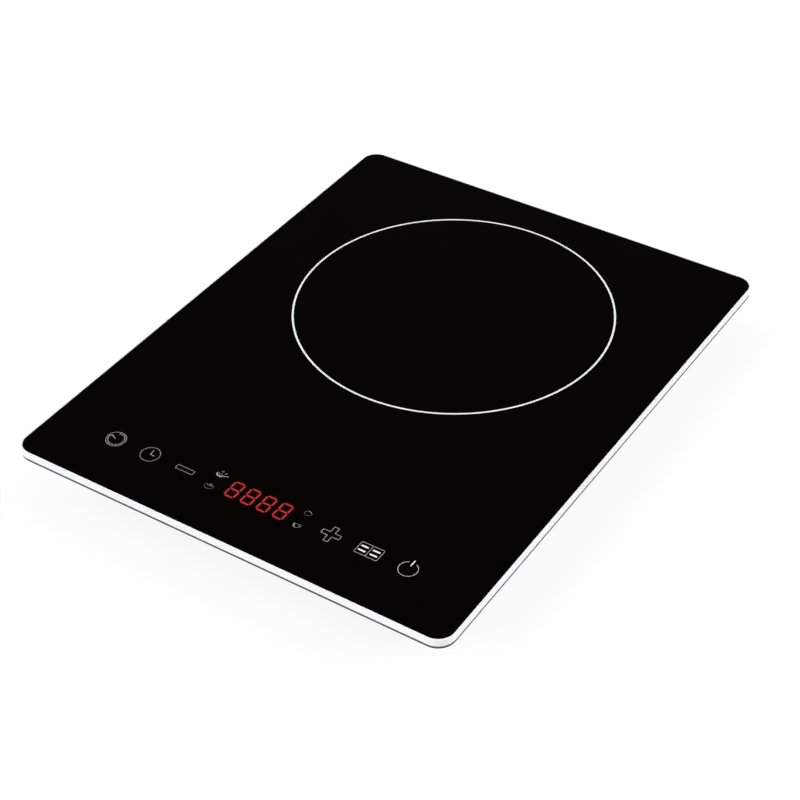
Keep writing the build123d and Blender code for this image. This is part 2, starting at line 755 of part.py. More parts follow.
z_segments = z_glass_low - DISPLAY_GAP - SEGMENT_T
with BuildPart() as display_module:
    with Locations((DISPLAY_X, key_y + DISPLAY_Y, z_control_top)):
        Box(DISPLAY_W, DISPLAY_D, z_segments - z_control_top, align=UPWARD)
    fillet(display_module.edges().filter_by(Axis.Z), EDGE_SOFT)
save(display_module, "display_module")

# Seven bars a digit: three across, two on each side
bar_x = (DIGIT_W - SEGMENT_W) / 2
bar_y = (DIGIT_H - SEGMENT_W) / 2
bar_across = DIGIT_W - SEGMENT_W - 2 * SEGMENT_GAP
bar_along = bar_y - 2 * SEGMENT_GAP
side_bars = [(side * bar_x, row * bar_y / 2) for side in (-1, 1) for row in (-1, 1)]
with BuildPart() as display_segments:
    with BuildSketch(Plane((DISPLAY_X, key_y + DISPLAY_Y, z_segments))):
        with GridLocations(DIGIT_PITCH, 0, DIGITS, 1):
            with Locations((0, -bar_y), (0, 0), (0, bar_y)):
                SlotOverall(bar_across, SEGMENT_W)
            with Locations(*side_bars):
                SlotOverall(bar_along, SEGMENT_W, rotation=90)
    extrude(amount=SEGMENT_T)
save(display_segments, "display_segments")

with BuildPart() as touch_pillars:
    with Locations(*[(x, y, z_control_top) for x, y in key_points]):
        Cylinder(PILLAR_D / 2, PILLAR_H, align=UPWARD)
save(touch_pillars, "touch_pillars")

lamp_points = [
    (side * LAMP_X, key_y + row * LAMP_SPREAD / 2) for side in (-1, 1) for row in (-1, 1)
]
with BuildPart() as indicator_lamps:
    with Locations(*[(x, y, z_control_top) for x, y in lamp_points]):
        Cylinder(LAMP_D / 2, LAMP_H, align=UPWARD)
    fillet(indicator_lamps.edges().group_by(Axis.Z)[-1], EDGE_SOFT)
save(indicator_lamps, "indicator_lamps")

with BuildPart() as controller_chip:
    with Locations((0, key_y, z_control_low)):
        Box(CHIP_W, CHIP_D, CHIP_T, align=DOWNWARD)
save(controller_chip, "controller_chip")

# Power board
power_left = power_x - POWER_W / 2
power_right = power_x + POWER_W / 2
power_back = power_y + POWER_D / 2
with BuildPart() as power_board:
    with Locations((power_x, power_y, z_power_low)):
        Box(POWER_W, POWER_D, BOARD_T, align=UPWARD)
    fillet(power_board.edges().filter_by(Axis.Z), EDGE_SOFT)
    with Locations(*[(x, y, z_power_low) for x, y in power_hole_points]):
        Cylinder(boss_bore / 2, BOARD_T, align=UPWARD, mode=Mode.SUBTRACT)
save(power_board, "power_board")

power_board_screws = screws(power_hole_points, z_power_top, BOARD_T + SCREW_GRIP, False)
save(power_board_screws, "power_board_screws")

# Heat sink: legs, base and fins in one profile, over the power semiconductors
sink_x = power_left + POWER_HOLE_INSET + HEAD_D / 2 + SINK_LEFT + SINK_W / 2
sink_y = power_back - POWER_HOLE_INSET - HEAD_D / 2 - SINK_BACK - SINK_D / 2
z_sink_base = z_power_top + TRANSISTOR_T + PAD_T
z_sink_top = z_ferrite_low - SINK_AIR_GAP
fin_count = int((SINK_D - SINK_FIN_T) / SINK_FIN_PITCH) + 1
with BuildPart() as heat_sink:
    with BuildSketch(Plane((sink_x, sink_y, 0), x_dir=(0, 1, 0), z_dir=(1, 0, 0))):
        with Locations((0, z_sink_base + SINK_BASE_T / 2)):
            Rectangle(SINK_D, SINK_BASE_T)
        for side in (-1, 1):
            with Locations((side * (SINK_D - SINK_LEG_T) / 2, (z_power_top + z_sink_base) / 2)):
                Rectangle(SINK_LEG_T, z_sink_base - z_power_top)
        with Locations((0, (z_sink_base + z_sink_top) / 2)):
            with GridLocations(SINK_FIN_PITCH, 0, fin_count, 1):
                Rectangle(SINK_FIN_T, z_sink_top - z_sink_base)
    extrude(amount=SINK_W / 2, both=True)
save(heat_sink, "heat_sink")

transistor_y = sink_y + PACKAGE_SPREAD / 2
rectifier_y = sink_y - PACKAGE_SPREAD / 2
with BuildPart() as power_transistor:
    with Locations((sink_x, transistor_y, z_power_top)):
        Box(TRANSISTOR_W, TRANSISTOR_D, TRANSISTOR_T, align=UPWARD)
    chamfer(power_transistor.edges().filter_by(Axis.Z), EDGE_SOFT)
save(power_transistor, "power_transistor")

with BuildPart() as bridge_rectifier:
    with Locations((sink_x, rectifier_y, z_power_top)):
        Box(RECTIFIER_W, RECTIFIER_D, TRANSISTOR_T, align=UPWARD)
    chamfer(bridge_rectifier.edges().filter_by(Axis.Z), EDGE_SOFT)
save(bridge_rectifier, "bridge_rectifier")

with BuildPart() as thermal_pads:
    with Locations((sink_x, transistor_y, z_sink_base)):
        Box(TRANSISTOR_W, TRANSISTOR_D, PAD_T, align=DOWNWARD)
    with Locations((sink_x, rectifier_y, z_sink_base)):
        Box(RECTIFIER_W, RECTIFIER_D, PAD_T, align=DOWNWARD)
save(thermal_pads, "thermal_pads")

# Capacitors, choke, transformer, fuse and buzzer to the right of the heat sink
box_cap_x = power_right - POWER_HOLE_INSET - BOX_CAP_W / 2
with BuildPart() as filter_capacitor:
    with Locations((box_cap_x, power_y + BOX_CAP_PITCH / 2, z_power_top)):
        Box(BOX_CAP_W, BOX_CAP_D, BOX_CAP_H, align=UPWARD)
    fillet(filter_capacitor.edges().filter_by(Axis.Z), EDGE_SOFT)
save(filter_capacitor, "filter_capacitor")

with BuildPart() as resonance_capacitor:
    with Locations((box_cap_x, power_y - BOX_CAP_PITCH / 2, z_power_top)):
        Box(BOX_CAP_W, BOX_CAP_D, BOX_CAP_H, align=UPWARD)
    fillet(resonance_capacitor.edges().filter_by(Axis.Z), EDGE_SOFT)
save(resonance_capacitor, "resonance_capacitor")

can_y = power_y - BOX_CAP_PITCH - CAN_PITCH / 2
can_points = [(box_cap_x + side * CAN_PITCH / 2, can_y) for side in (-1, 1)]
with BuildPart() as electrolytic_capacitors:
    with Locations(*[(x, y, z_power_top) for x, y in can_points]):
        Cylinder(CAN_D / 2, CAN_H, align=UPWARD)
    fillet(electrolytic_capacitors.edges().group_by(Axis.Z)[-1], EDGE_SOFT)
save(electrolytic_capacitors, "electrolytic_capacitors")

column_x = (sink_x + SINK_W / 2 + box_cap_x - BOX_CAP_W / 2) / 2
choke_y = power_y + CHOKE_D / 2
z_choke = z_power_top + CHOKE_WIRE + 2 * CHOKE_FIT
with BuildPart() as choke_core:
    with Locations((column_x, choke_y, z_choke)):
        Cylinder(CHOKE_D / 2, CHOKE_H, align=UPWARD)
        Cylinder(CHOKE_BORE / 2, CHOKE_H, align=UPWARD, mode=Mode.SUBTRACT)
    fillet(choke_core.edges().filter_by(GeomType.CIRCLE), EDGE_SOFT)
save(choke_core, "choke_core")

# One wire: up through the bore, out over the top, down outside and back under the core
wire_off = CHOKE_FIT + CHOKE_WIRE / 2
choke_in_r = CHOKE_BORE / 2 - wire_off
choke_out_r = CHOKE_D / 2 + wire_off
z_turn_low = z_choke - wire_off
z_turn_high = z_choke + CHOKE_H + wire_off
turn_step = 2 * math.pi / CHOKE_TURNS
choke_points = []
for turn in range(CHOKE_TURNS):
    for radius, angle, z in (
        (choke_in_r, turn * turn_step, z_turn_low),
        (choke_in_r, turn * turn_step, z_turn_high),
        (choke_out_r, (turn + 1 / 2) * turn_step, z_turn_high),
        (choke_out_r, (turn + 1 / 2) * turn_step, z_turn_low),
    ):
        choke_points.append(
            (column_x + radius * math.cos(angle), choke_y + radius * math.sin(angle), z)
        )
choke_winding = lead(choke_points, CHOKE_BEND, CHOKE_WIRE)
save(choke_winding, "choke_winding")
with BuildLine() as choke_route:
    FilletPolyline(*choke_points, radius=CHOKE_BEND)
print("choke winding, least gap", round(least_gap(choke_route.wire(), CHOKE_WIRE), 3))

transformer_y = power_y - TRANSFORMER_D / 2 - PART_GAP
with BuildPart() as supply_transformer:
    with Locations((column_x, transformer_y, z_power_top)):
        Box(TRANSFORMER_W, TRANSFORMER_D, TRANSFORMER_H, align=UPWARD)
    chamfer(supply_transformer.edges().filter_by(Axis.Z), EDGE_SOFT)
save(supply_transformer, "supply_transformer")

buzzer_y = transformer_y - TRANSFORMER_D / 2 - PART_GAP - BUZZER_D / 2
with BuildPart() as buzzer:
    with Locations((column_x, buzzer_y, z_power_top)):
        Cylinder(BUZZER_D / 2, BUZZER_H, align=UPWARD)
    with Locations((column_x, buzzer_y, z_power_top + BUZZER_H)):
        Cylinder(EDGE_SOFT, BUZZER_H / 2, align=DOWNWARD, mode=Mode.SUBTRACT)
save(buzzer, "buzzer")

fuse_y = power_y + BOX_CAP_PITCH + FUSE_CLIP_W
z_fuse = z_power_top + FUSE_LIFT + FUSE_D / 2
with BuildPart() as mains_fuse:
    with Locations(Location((box_cap_x, fuse_y, z_fuse), (0, 90, 0))):
        Cylinder(FUSE_D / 2, FUSE_L)
save(mains_fuse, "mains_fuse")

clip_w = FUSE_D + 2 * (FUSE_CLIP_T + SNUG_FIT)
with BuildPart() as fuse_clips:
    for side in (-1, 1):
        with Locations((box_cap_x + side * (FUSE_L - FUSE_CLIP_W) / 2, fuse_y, z_power_top)):
            Box(FUSE_CLIP_W, clip_w, FUSE_LIFT + FUSE_D / 2, align=UPWARD)
    with Locations(Location((box_cap_x, fuse_y, z_fuse), (0, 90, 0))):
        Cylinder(FUSE_D / 2 + SNUG_FIT, FUSE_L, mode=Mode.SUBTRACT)
save(fuse_clips, "fuse_clips")

# Terminals, tabs and sockets along the board's edges
edge_y = power_back - POWER_HOLE_INSET
terminal_points = [(column_x + side * TERMINAL_PITCH / 2, edge_y) for side in (-1, 1)]
z_terminal = z_power_top + TERMINAL_H
with BuildPart() as coil_terminals:
    with Locations(*[(x, y, z_power_top) for x, y in terminal_points]):
        Cylinder(TERMINAL_D / 2, TERMINAL_H, align=UPWARD)
save(coil_terminals, "coil_terminals")

with BuildPart() as mains_tabs:
    with Locations((box_cap_x, edge_y, z_power_top)):
        with GridLocations(TAB_W + PART_GAP, 0, 2, 1):
            Box(TAB_W, TAB_T, TAB_H, align=UPWARD)
save(mains_tabs, "mains_tabs")

fan_socket_y = board_front + POWER_HOLE_INSET
fan_socket_x = sink_x
sensor_socket_x = power_left + POWER_HOLE_INSET
with BuildPart() as wire_sockets:
    with Locations(
        (fan_socket_x, fan_socket_y, z_power_top), (sensor_socket_x, power_y, z_power_top)
    ):
        Box(SOCKET_W, SOCKET_D, SOCKET_H, align=UPWARD)
save(wire_sockets, "wire_sockets")

ribbon_x = column_x
ribbon_power_y = board_front + POWER_HOLE_INSET
ribbon_control_y = key_y + CONTROL_D / 2 - RIBBON_SOCKET_D
with BuildPart() as ribbon_sockets:
    with Locations((ribbon_x, ribbon_power_y, z_power_top)):
        Box(RIBBON_W + 2 * RIBBON_T, RIBBON_SOCKET_D, RIBBON_SOCKET_H, align=UPWARD)
    with Locations((ribbon_x, ribbon_control_y, z_control_low)):
        Box(RIBBON_W + 2 * RIBBON_T, RIBBON_SOCKET_D, RIBBON_SOCKET_H, align=DOWNWARD)
save(ribbon_sockets, "ribbon_sockets")

z_ribbon_start = z_control_low - RIBBON_SOCKET_H
z_ribbon_end = z_power_top + RIBBON_SOCKET_H
z_ribbon_dip = z_ribbon_start - RIBBON_SLACK
z_ribbon_rise = max(z_ribbon_end, z_ribbon_dip) + RIBBON_SLACK
ribbon_mid_y = (ribbon_control_y + ribbon_power_y) / 2
with BuildPart() as ribbon_cable:
    with BuildSketch(Plane((ribbon_x, 0, 0), x_dir=(0, 1, 0), z_dir=(1, 0, 0))):
        with BuildLine():
            FilletPolyline(
                (ribbon_control_y, z_ribbon_start),
                (ribbon_control_y, z_ribbon_dip),
                (ribbon_mid_y, z_ribbon_dip),
                (ribbon_mid_y, z_ribbon_rise),
                (ribbon_power_y, z_ribbon_rise),
                (ribbon_power_y, z_ribbon_end),
                radius=RIBBON_BEND,
            )
        trace(line_width=RIBBON_T)
    extrude(amount=RIBBON_W / 2, both=True)
save(ribbon_cable, "ribbon_cable")

# Leads from the coil, the sensor and the fan to the power board
z_inner_lead = z_former_low - CRIMP_DROP + WIRE_D / 2
coil_front_y = zone_y - former_r
near_x, far_x = terminal_points[0][0], terminal_points[1][0]
outer_lead = lead(
    [
        (0, zone_y - coil_end_r, z_wire),
        (far_x / 2, zone_y - coil_end_r, z_wire),
        (far_x, edge_y, z_inner_lead),
        (far_x, edge_y, z_terminal),
    ],
    LEAD_BEND,
    WIRE_D,
)
inner_lead = lead(
    [
        (crimp_x, crimp_y - CRIMP_D / 2, z_inner_lead),
        (crimp_x, coil_front_y - WIRE_D, z_inner_lead),
        (near_x, edge_y, z_inner_lead),
        (near_x, edge_y, z_terminal),
    ],
    LEAD_BEND,
    WIRE_D,
)
with BuildPart() as coil_leads:
    add(outer_lead.part)
    add(inner_lead.part)
save(coil_leads, "coil_leads")

z_socket = z_power_top + SOCKET_H
z_thin_lead = z_holder_low - 3 * SENSOR_LEAD_D
sensor_lead = lead(
    [
        (0, zone_y, z_holder_low),
        (0, zone_y, z_thin_lead),
        (sensor_socket_x, power_back, z_thin_lead),
        (sensor_socket_x, power_y, z_socket + SOCKET_H),
        (sensor_socket_x, power_y, z_socket),
    ],
    THIN_LEAD_BEND,
    SENSOR_LEAD_D,
)
save(sensor_lead, "sensor_lead")

fan_side_x = fan_x + FAN_W / 2
fan_lead = lead(
    [
        (fan_side_x, fan_socket_y, z_fan + FAN_H / 2),
        (power_left - PART_GAP, fan_socket_y, z_fan + FAN_H / 2),
        (fan_socket_x, fan_socket_y, z_socket + SOCKET_H),
        (fan_socket_x, fan_socket_y, z_socket),
    ],
    THIN_LEAD_BEND,
    FAN_LEAD_D,
)
save(fan_lead, "fan_lead")

# Cooling fan
fan_plane = Plane((fan_x, fan_y, z_fan))
z_fan_base = FAN_H - FAN_BASE_T
tube_bore_r = TUBE_D / 2 - TUBE_WALL
strut_l = (FAN_BORE - FAN_BASE_D) / 2 + FAN_STRUT
with BuildPart(fan_plane) as fan_frame:
    Box(FAN_W, FAN_W, FAN_H, align=UPWARD)
    fillet(fan_frame.edges().filter_by(Axis.Z), FAN_CORNER_R)
    Cylinder(FAN_BORE / 2, FAN_H, align=UPWARD, mode=Mode.SUBTRACT)
    with GridLocations(FAN_HOLES, FAN_HOLES, 2, 2):
        Cylinder(FAN_HOLE_D / 2, FAN_H, align=UPWARD, mode=Mode.SUBTRACT)
    with Locations((0, 0, z_fan_base)):
        Cylinder(FAN_BASE_D / 2, FAN_BASE_T, align=UPWARD)
        Cylinder(TUBE_D / 2, TUBE_L, align=DOWNWARD)
        with PolarLocations((FAN_BORE + FAN_BASE_D) / 4, FAN_STRUTS, start_angle=180 / FAN_STRUTS):
            Box(strut_l, FAN_STRUT, FAN_BASE_T, align=UPWARD)
        Cylinder(tube_bore_r, TUBE_L, align=DOWNWARD, mode=Mode.SUBTRACT)
save(fan_frame, "fan_frame")

bush_r = SHAFT_D / 2 + SHAFT_CLEAR
with BuildPart(fan_plane) as fan_bushing:
    with Locations((0, 0, z_fan_base)):
        Cylinder(tube_bore_r - PRESS_FIT, TUBE_L, align=DOWNWARD)
        Cylinder(bush_r, TUBE_L, align=DOWNWARD, mode=Mode.SUBTRACT)
save(fan_bushing, "fan_bushing")

with BuildPart(fan_plane) as fan_stator:
    with Locations((0, 0, z_fan_base - (TUBE_L - STATOR_H) / 2)):
        Cylinder(STATOR_D / 2, STATOR_H, align=DOWNWARD)
        Cylinder(TUBE_D / 2 + PRESS_FIT, STATOR_H, align=DOWNWARD, mode=Mode.SUBTRACT)
        with PolarLocations(STATOR_D / 2, FAN_STRUTS):
            Box(STATOR_D / 2, STATOR_SLOT, STATOR_H, align=DOWNWARD, mode=Mode.SUBTRACT)
save(fan_stator, "fan_stator")

# Fan rotor: cup with blades, magnet ring and shaft
hub_bore_r = HUB_D / 2 - HUB_WALL
hub_h = z_fan_base - HUB_TOP_GAP - HUB_LIFT
blade_z = HUB_LIFT + hub_h / 2
root_r = hub_bore_r + HUB_WALL / 4
tip_r = FAN_BORE / 2 - BLADE_TIP_GAP
with BuildPart() as fan_blade:
    for radius, chord, pitch in (
        (root_r, BLADE_CHORD_ROOT, BLADE_PITCH_ROOT),
        (math.sqrt(tip_r**2 - (BLADE_CHORD_TIP / 2) ** 2), BLADE_CHORD_TIP, BLADE_PITCH_TIP),
    ):
        with BuildSketch(Plane((radius, 0, blade_z), x_dir=(0, 1, 0), z_dir=(1, 0, 0))):
            Rectangle(chord, BLADE_T, rotation=pitch)
    loft()

with BuildPart(fan_plane) as fan_impeller:
    with Locations((0, 0, HUB_LIFT)):
        Cylinder(HUB_D / 2, hub_h, align=UPWARD)
    fillet(fan_impeller.faces().sort_by(Axis.Z)[0].edges(), HUB_FLOOR / 2)
    with Locations((0, 0, HUB_LIFT + HUB_FLOOR)):
        Cylinder(hub_bore_r, hub_h, align=UPWARD, mode=Mode.SUBTRACT)
        Cylinder(HUB_BOSS_D / 2, HUB_BOSS_H, align=UPWARD)
    with Locations((0, 0, HUB_LIFT)):
        Cylinder(SHAFT_D / 2 + PRESS_FIT, hub_h, align=UPWARD, mode=Mode.SUBTRACT)
    with PolarLocations(0, BLADES):
        add(fan_blade.part)
save(fan_impeller, "fan_impeller")

with BuildPart(fan_plane) as fan_magnet:
    with Locations((0, 0, HUB_LIFT + HUB_FLOOR)):
        Cylinder(hub_bore_r - PRESS_FIT, MAGNET_H, align=UPWARD)
        Cylinder(hub_bore_r - MAGNET_T, MAGNET_H, align=UPWARD, mode=Mode.SUBTRACT)
save(fan_magnet, "fan_magnet")

with BuildPart(fan_plane) as fan_shaft:
    with Locations((0, 0, HUB_LIFT)):
        Cylinder(SHAFT_D / 2, z_fan_base - HUB_LIFT - HUB_TOP_GAP, align=UPWARD)
save(fan_shaft, "fan_shaft")

fan_screws = screws(fan_hole_points, z_fan + FAN_H, FAN_H + FAN_LIFT, False)
save(fan_screws, "fan_screws")
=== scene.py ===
"""Looks of a portable single-zone induction cooktop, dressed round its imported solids.

Lengths are in metres in the frame of the solids, unless a name ends in _mm.
"""

import logging
import math
from dataclasses import dataclass
from enum import Enum
from typing import Any, ClassVar, Sequence

import bmesh
import bpy
from mathutils import Matrix, Vector


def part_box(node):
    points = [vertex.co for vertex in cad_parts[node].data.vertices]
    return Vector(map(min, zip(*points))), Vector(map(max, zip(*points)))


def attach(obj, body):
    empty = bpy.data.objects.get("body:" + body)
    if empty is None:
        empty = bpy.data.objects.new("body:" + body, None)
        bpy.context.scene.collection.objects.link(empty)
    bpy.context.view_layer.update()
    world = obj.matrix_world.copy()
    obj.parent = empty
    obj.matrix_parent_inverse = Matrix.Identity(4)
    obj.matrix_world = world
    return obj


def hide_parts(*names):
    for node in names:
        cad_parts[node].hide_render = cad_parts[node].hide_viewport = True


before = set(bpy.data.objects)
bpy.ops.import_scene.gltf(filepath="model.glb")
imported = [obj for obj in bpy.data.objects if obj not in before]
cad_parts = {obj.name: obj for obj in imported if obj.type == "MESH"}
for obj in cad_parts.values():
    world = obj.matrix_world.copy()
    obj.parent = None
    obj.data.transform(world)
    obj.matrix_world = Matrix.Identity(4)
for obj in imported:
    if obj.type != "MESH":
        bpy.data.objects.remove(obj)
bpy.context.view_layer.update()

LOG = logging.getLogger("cooktop")
MM = 0.001

Material = bpy.types.Material
Mesh = bpy.types.Mesh
Node = bpy.types.Node
Piece = bpy.types.Object
Socket = bpy.types.NodeSocket
Tree = bpy.types.NodeTree

Colour = tuple[float, float, float]
Point = tuple[float, float]
Points = tuple[Point, ...]
Outline = list[Point]
Line = tuple[Outline, bool]
SocketKinds = dict[str, str]
Solids = dict[str, tuple[str, ...]]


class Relief(Enum):
    """Kinds of fine surface relief.

    Attributes:
        SPECKLE: Spark-eroded grain of moulded plastic.
        LINES: Fine lines along X, as drawing or brushing leaves them.
        CELLS: Packed cells, as in sintered or fibrous stock.
    """

    SPECKLE = "speckle_relief"
    LINES = "drawn_relief"
    CELLS = "cell_relief"


class NodeSheet:
    """Adds and joins the nodes of one tree.

    Attributes:
        NOISE_RANGE: Levels between which nearly all of a noise lies.
        MIX_INPUTS: Places of the share and of the two colours among a mix node's inputs.
        MIX_RESULT: Place of the mixed colour among a mix node's outputs.
    """

    NOISE_RANGE = (0.3, 0.7)
    MIX_INPUTS = (0, 6, 7)
    MIX_RESULT = 2

    def __init__(self, tree: Tree) -> None:
        """Keep the tree that the nodes go into."""
        self.tree = tree

    def add(self, kind: str, inputs: dict[Any, Any] | None = None, **settings: Any) -> Node:
        """Add a node.

        Args:
            kind: Blender's name of the node type.
            inputs: Values or output sockets for the node's inputs, by name or place.
            **settings: Properties of the node.

        Returns:
            The new node.
        """
        node = self.tree.nodes.new(kind)
        for key, value in settings.items():
            setattr(node, key, value)
        for key, value in (inputs or {}).items():
            if isinstance(value, Socket):
                self.tree.links.new(value, node.inputs[key])
            else:
                node.inputs[key].default_value = value
        return node

    def group(self, tree: Tree, place: Socket, values: dict[str, Any]) -> Socket:
        """Add a shared group at a place on the piece, and give the socket of its result."""
        node = self.add("ShaderNodeGroup", {"Vector": place, **values}, node_tree=tree)
        return node.outputs[0]

    def noise(self, place: Socket, scale: Socket, values: dict[str, float]) -> Socket:
        """Add a noise of a scale, and give the socket of its value between 0 and 1."""
        inputs = {"Vector": place, "Scale": scale, **values}
        return self.add("ShaderNodeTexNoise", inputs).outputs["Fac"]

    def spread(self, noise: Socket, low: Any, high: Any) -> Socket:
        """Map the middle of a noise to a range.

        Args:
            noise: Socket of the noise.
            low: Value at the low end, a number or a socket.
            high: Value at the high end, a number or a socket.

        Returns:
            The socket of the mapped value.
        """
        first, last = self.NOISE_RANGE
        inputs = {"Value": noise, "From Min": first, "From Max": last, "To Min": low, "To Max": high}
        return self.add("ShaderNodeMapRange", inputs).outputs["Result"]

    def mix(self, share: Socket, first: Any, second: Any) -> Socket:
        """Mix two colours by the share of the second one, and give the socket of the result."""
        inputs = dict(zip(self.MIX_INPUTS, (share, first, second)))
        return self.add("ShaderNodeMix", inputs, data_type="RGBA").outputs[self.MIX_RESULT]


def start_tree(kind: str, name: str, inputs: SocketKinds, outputs: SocketKinds) -> tuple[NodeSheet, Any]:
    """Start a shared tree.

    Args:
        kind: Blender's name of the tree type.
        name: Name of the tree.
        inputs: Type of each input, by name.
        outputs: Type of each output, by name.

    Returns:
        The tree's sheet and the sockets that it is given.
    """
    tree = bpy.data.node_groups.new(name, kind)
    for direction, sockets in (("INPUT", inputs), ("OUTPUT", outputs)):
        for label, socket in sockets.items():
            tree.interface.new_socket(label, in_out=direction, socket_type=f"NodeSocket{socket}")
    sheet = NodeSheet(tree)
    return sheet, sheet.add("NodeGroupInput").outputs


class SharedEffects:
    """Shader node groups that more than one finish uses, each built once.

    Attributes:
        PULL: Scale along each axis that pulls a noise into lines along X.
    """

    PULL = (0.02, 1.0, 1.0)

    def __init__(self) -> None:
        """Build every group."""
        self.mottle = self.build_mottle()
        self.film = self.build_film()
        self.reliefs = {relief: self.build_relief(relief) for relief in Relief}

    @staticmethod
    def start(name: str, inputs: SocketKinds, result: SocketKinds) -> tuple[NodeSheet, Any]:
        """Start a group that takes a place, a scale and further inputs."""
        return start_tree("ShaderNodeTree", name, {"Vector": "Vector", "Scale": "Float", **inputs}, result)

    @staticmethod
    def end(sheet: NodeSheet, name: str, value: Socket) -> Tree:
        """Give the group the value of its result, and give the finished tree."""
        sheet.add("NodeGroupOutput", {name: value})
        return sheet.tree

    def build_mottle(self) -> Tree:
        """Build a drift between two near colours.

        Returns:
            The finished group.
        """
        colours = {"Colour": "Color", "Shade": "Color"}
        sheet, given = self.start("soft_mottle", colours, {"Colour": "Color"})
        clouds = sheet.noise(given["Vector"], given["Scale"], {"Detail": 4.0})
        mixed = sheet.mix(sheet.spread(clouds, 0.0, 1.0), given["Colour"], given["Shade"])
        return self.end(sheet, "Colour", mixed)

    def build_film(self) -> Tree:
        """Build a roughness that drifts where hands and cloths have been.

        Returns:
            The finished group.
        """
        levels = {"Roughness": "Float", "Spread": "Float"}
        sheet, given = self.start("handling_film", levels, {"Roughness": "Float"})
        cloudy = {"Detail": 6.0, "Roughness": 0.62, "Distortion": 0.6}
        wipes = sheet.noise(given["Vector"], given["Scale"], cloudy)
        both = {0: given["Roughness"], 1: given["Spread"]}
        low = sheet.add("ShaderNodeMath", both, operation="SUBTRACT").outputs[0]
        high = sheet.add("ShaderNodeMath", both, operation="ADD").outputs[0]
        return self.end(sheet, "Roughness", sheet.spread(wipes, low, high))

    def build_relief(self, relief: Relief) -> Tree:
        """Build the height of a fine relief.

        Args:
            relief: Kind of relief.

        Returns:
            The finished group.
        """
        sheet, given = self.start(relief.value, {}, {"Height": "Float"})
        place, scale = given["Vector"], given["Scale"]
        if relief is Relief.SPECKLE:
            height = sheet.noise(place, scale, {"Detail": 3.0, "Roughness": 0.55})
        elif relief is Relief.LINES:
            pulled = sheet.add("ShaderNodeMapping", {"Vector": place, "Scale": self.PULL})
            height = sheet.noise(pulled.outputs["Vector"], scale, {"Detail": 4.0})
        else:
            cells = sheet.add("ShaderNodeTexVoronoi", {"Vector": place, "Scale": scale})
            height = cells.outputs["Distance"]
        return self.end(sheet, "Height", height)


EFFECTS = SharedEffects()


@dataclass(frozen=True)
class Finish:
    """A surface with drifting colour, handled gloss and fine relief.

    Attributes:
        name: Name of the material.
        colour: Main colour.
        shade: Colour that the main one drifts to.
        roughness: Middle roughness.
        spread: How far the roughness drifts.
        relief: Kind of fine relief.
        grain: Scale of the relief, per metre.
        depth: Strength of the relief.
        rise: Height of the relief.
        drift: Scale of the drifts, per metre.
        metallic: Metal share.
        specular: Level of the plain gloss.
    """

    name: str
    colour: Colour
    shade: Colour
    roughness: float
    spread: float = 0.06
    relief: Relief = Relief.SPECKLE
    grain: float = 2500.0
    depth: float = 0.25
    rise: float = 0.00004
    drift: float = 40.0
    metallic: float = 0.0
    specular: float = 0.5

    def build(self) -> Material:
        """Make the material.

        Returns:
            The new material.
        """
        material = bpy.data.materials.new(self.name)
        material.use_nodes = True
        sheet = NodeSheet(material.node_tree)
        shader = material.node_tree.nodes["Principled BSDF"]
        place = sheet.add("ShaderNodeTexCoord").outputs["Object"]
        shader.inputs["Metallic"].default_value = self.metallic
        shader.inputs["Specular IOR Level"].default_value = self.specular
        self.dress(sheet, shader, place)
        return material

    def dress(self, sheet: NodeSheet, shader: Node, place: Socket) -> None:
        """Join colour, gloss and relief to the shader.

        Args:
            sheet: Sheet of the material's tree.
            shader: The material's shader node.
            place: Socket of the place on the piece.
        """
        tint = self.mottle(sheet, place, self.drift, self.colour, self.shade)
        gloss = {"Scale": self.drift, "Roughness": self.roughness, "Spread": self.spread}
        film = sheet.group(EFFECTS.film, place, gloss)
        height = sheet.group(EFFECTS.reliefs[self.relief], place, {"Scale": self.grain})
        relief = {"Strength": self.depth, "Distance": self.rise, "Height": height}
        bump = sheet.add("ShaderNodeBump", relief).outputs["Normal"]
        for name, value in (("Base Color", tint), ("Roughness", film), ("Normal", bump)):
            sheet.tree.links.new(value, shader.inputs[name])

    @staticmethod
    def mottle(sheet: NodeSheet, place: Socket, scale: float, first: Colour, second: Colour) -> Socket:
        """Add a drift between two colours, of a scale per metre, and give the socket of the colour."""
        values = {"Scale": scale, "Colour": (*first, 1.0), "Shade": (*second, 1.0)}
        return sheet.group(EFFECTS.mottle, place, values)


@dataclass(frozen=True)
class PrintFinish(Finish):
    """Enamel that is printed on the glass."""

    roughness: float = 0.36
    relief: Relief = Relief.CELLS
    grain: float = 3300.0
    depth: float = 0.2
    rise: float = 0.00002
    drift: float = 300.0


@dataclass(frozen=True)
class MetalFinish(Finish):
    """Bare metal with fine drawn lines."""

    relief: Relief = Relief.LINES
    metallic: float = 1.0


@dataclass(frozen=True)
class LitFinish(Finish):
    """A field that shines through dark glass, a little unevenly.

    Attributes:
        glow: Colour of the light.
        dim: Colour of the light where it is weaker.
        patches: Scale of the stronger and weaker patches, per metre.
    """

    grain: float = 2600.0
    rise: float = 0.00002
    drift: float = 400.0
    glow: Colour = (0.43, 0.053, 0.058)
    dim: Colour = (0.34, 0.041, 0.045)
    patches: float = 900.0

    def dress(self, sheet: NodeSheet, shader: Node, place: Socket) -> None:
        """Join the light to the dressed surface.

        Args:
            sheet: Sheet of the material's tree.
            shader: The material's shader node.
            place: Socket of the place on the piece.
        """
        super().dress(sheet, shader, place)
        light = self.mottle(sheet, place, self.patches, self.glow, self.dim)
        sheet.tree.links.new(light, shader.inputs["Emission Color"])
        shader.inputs["Emission Strength"].default_value = 1.0


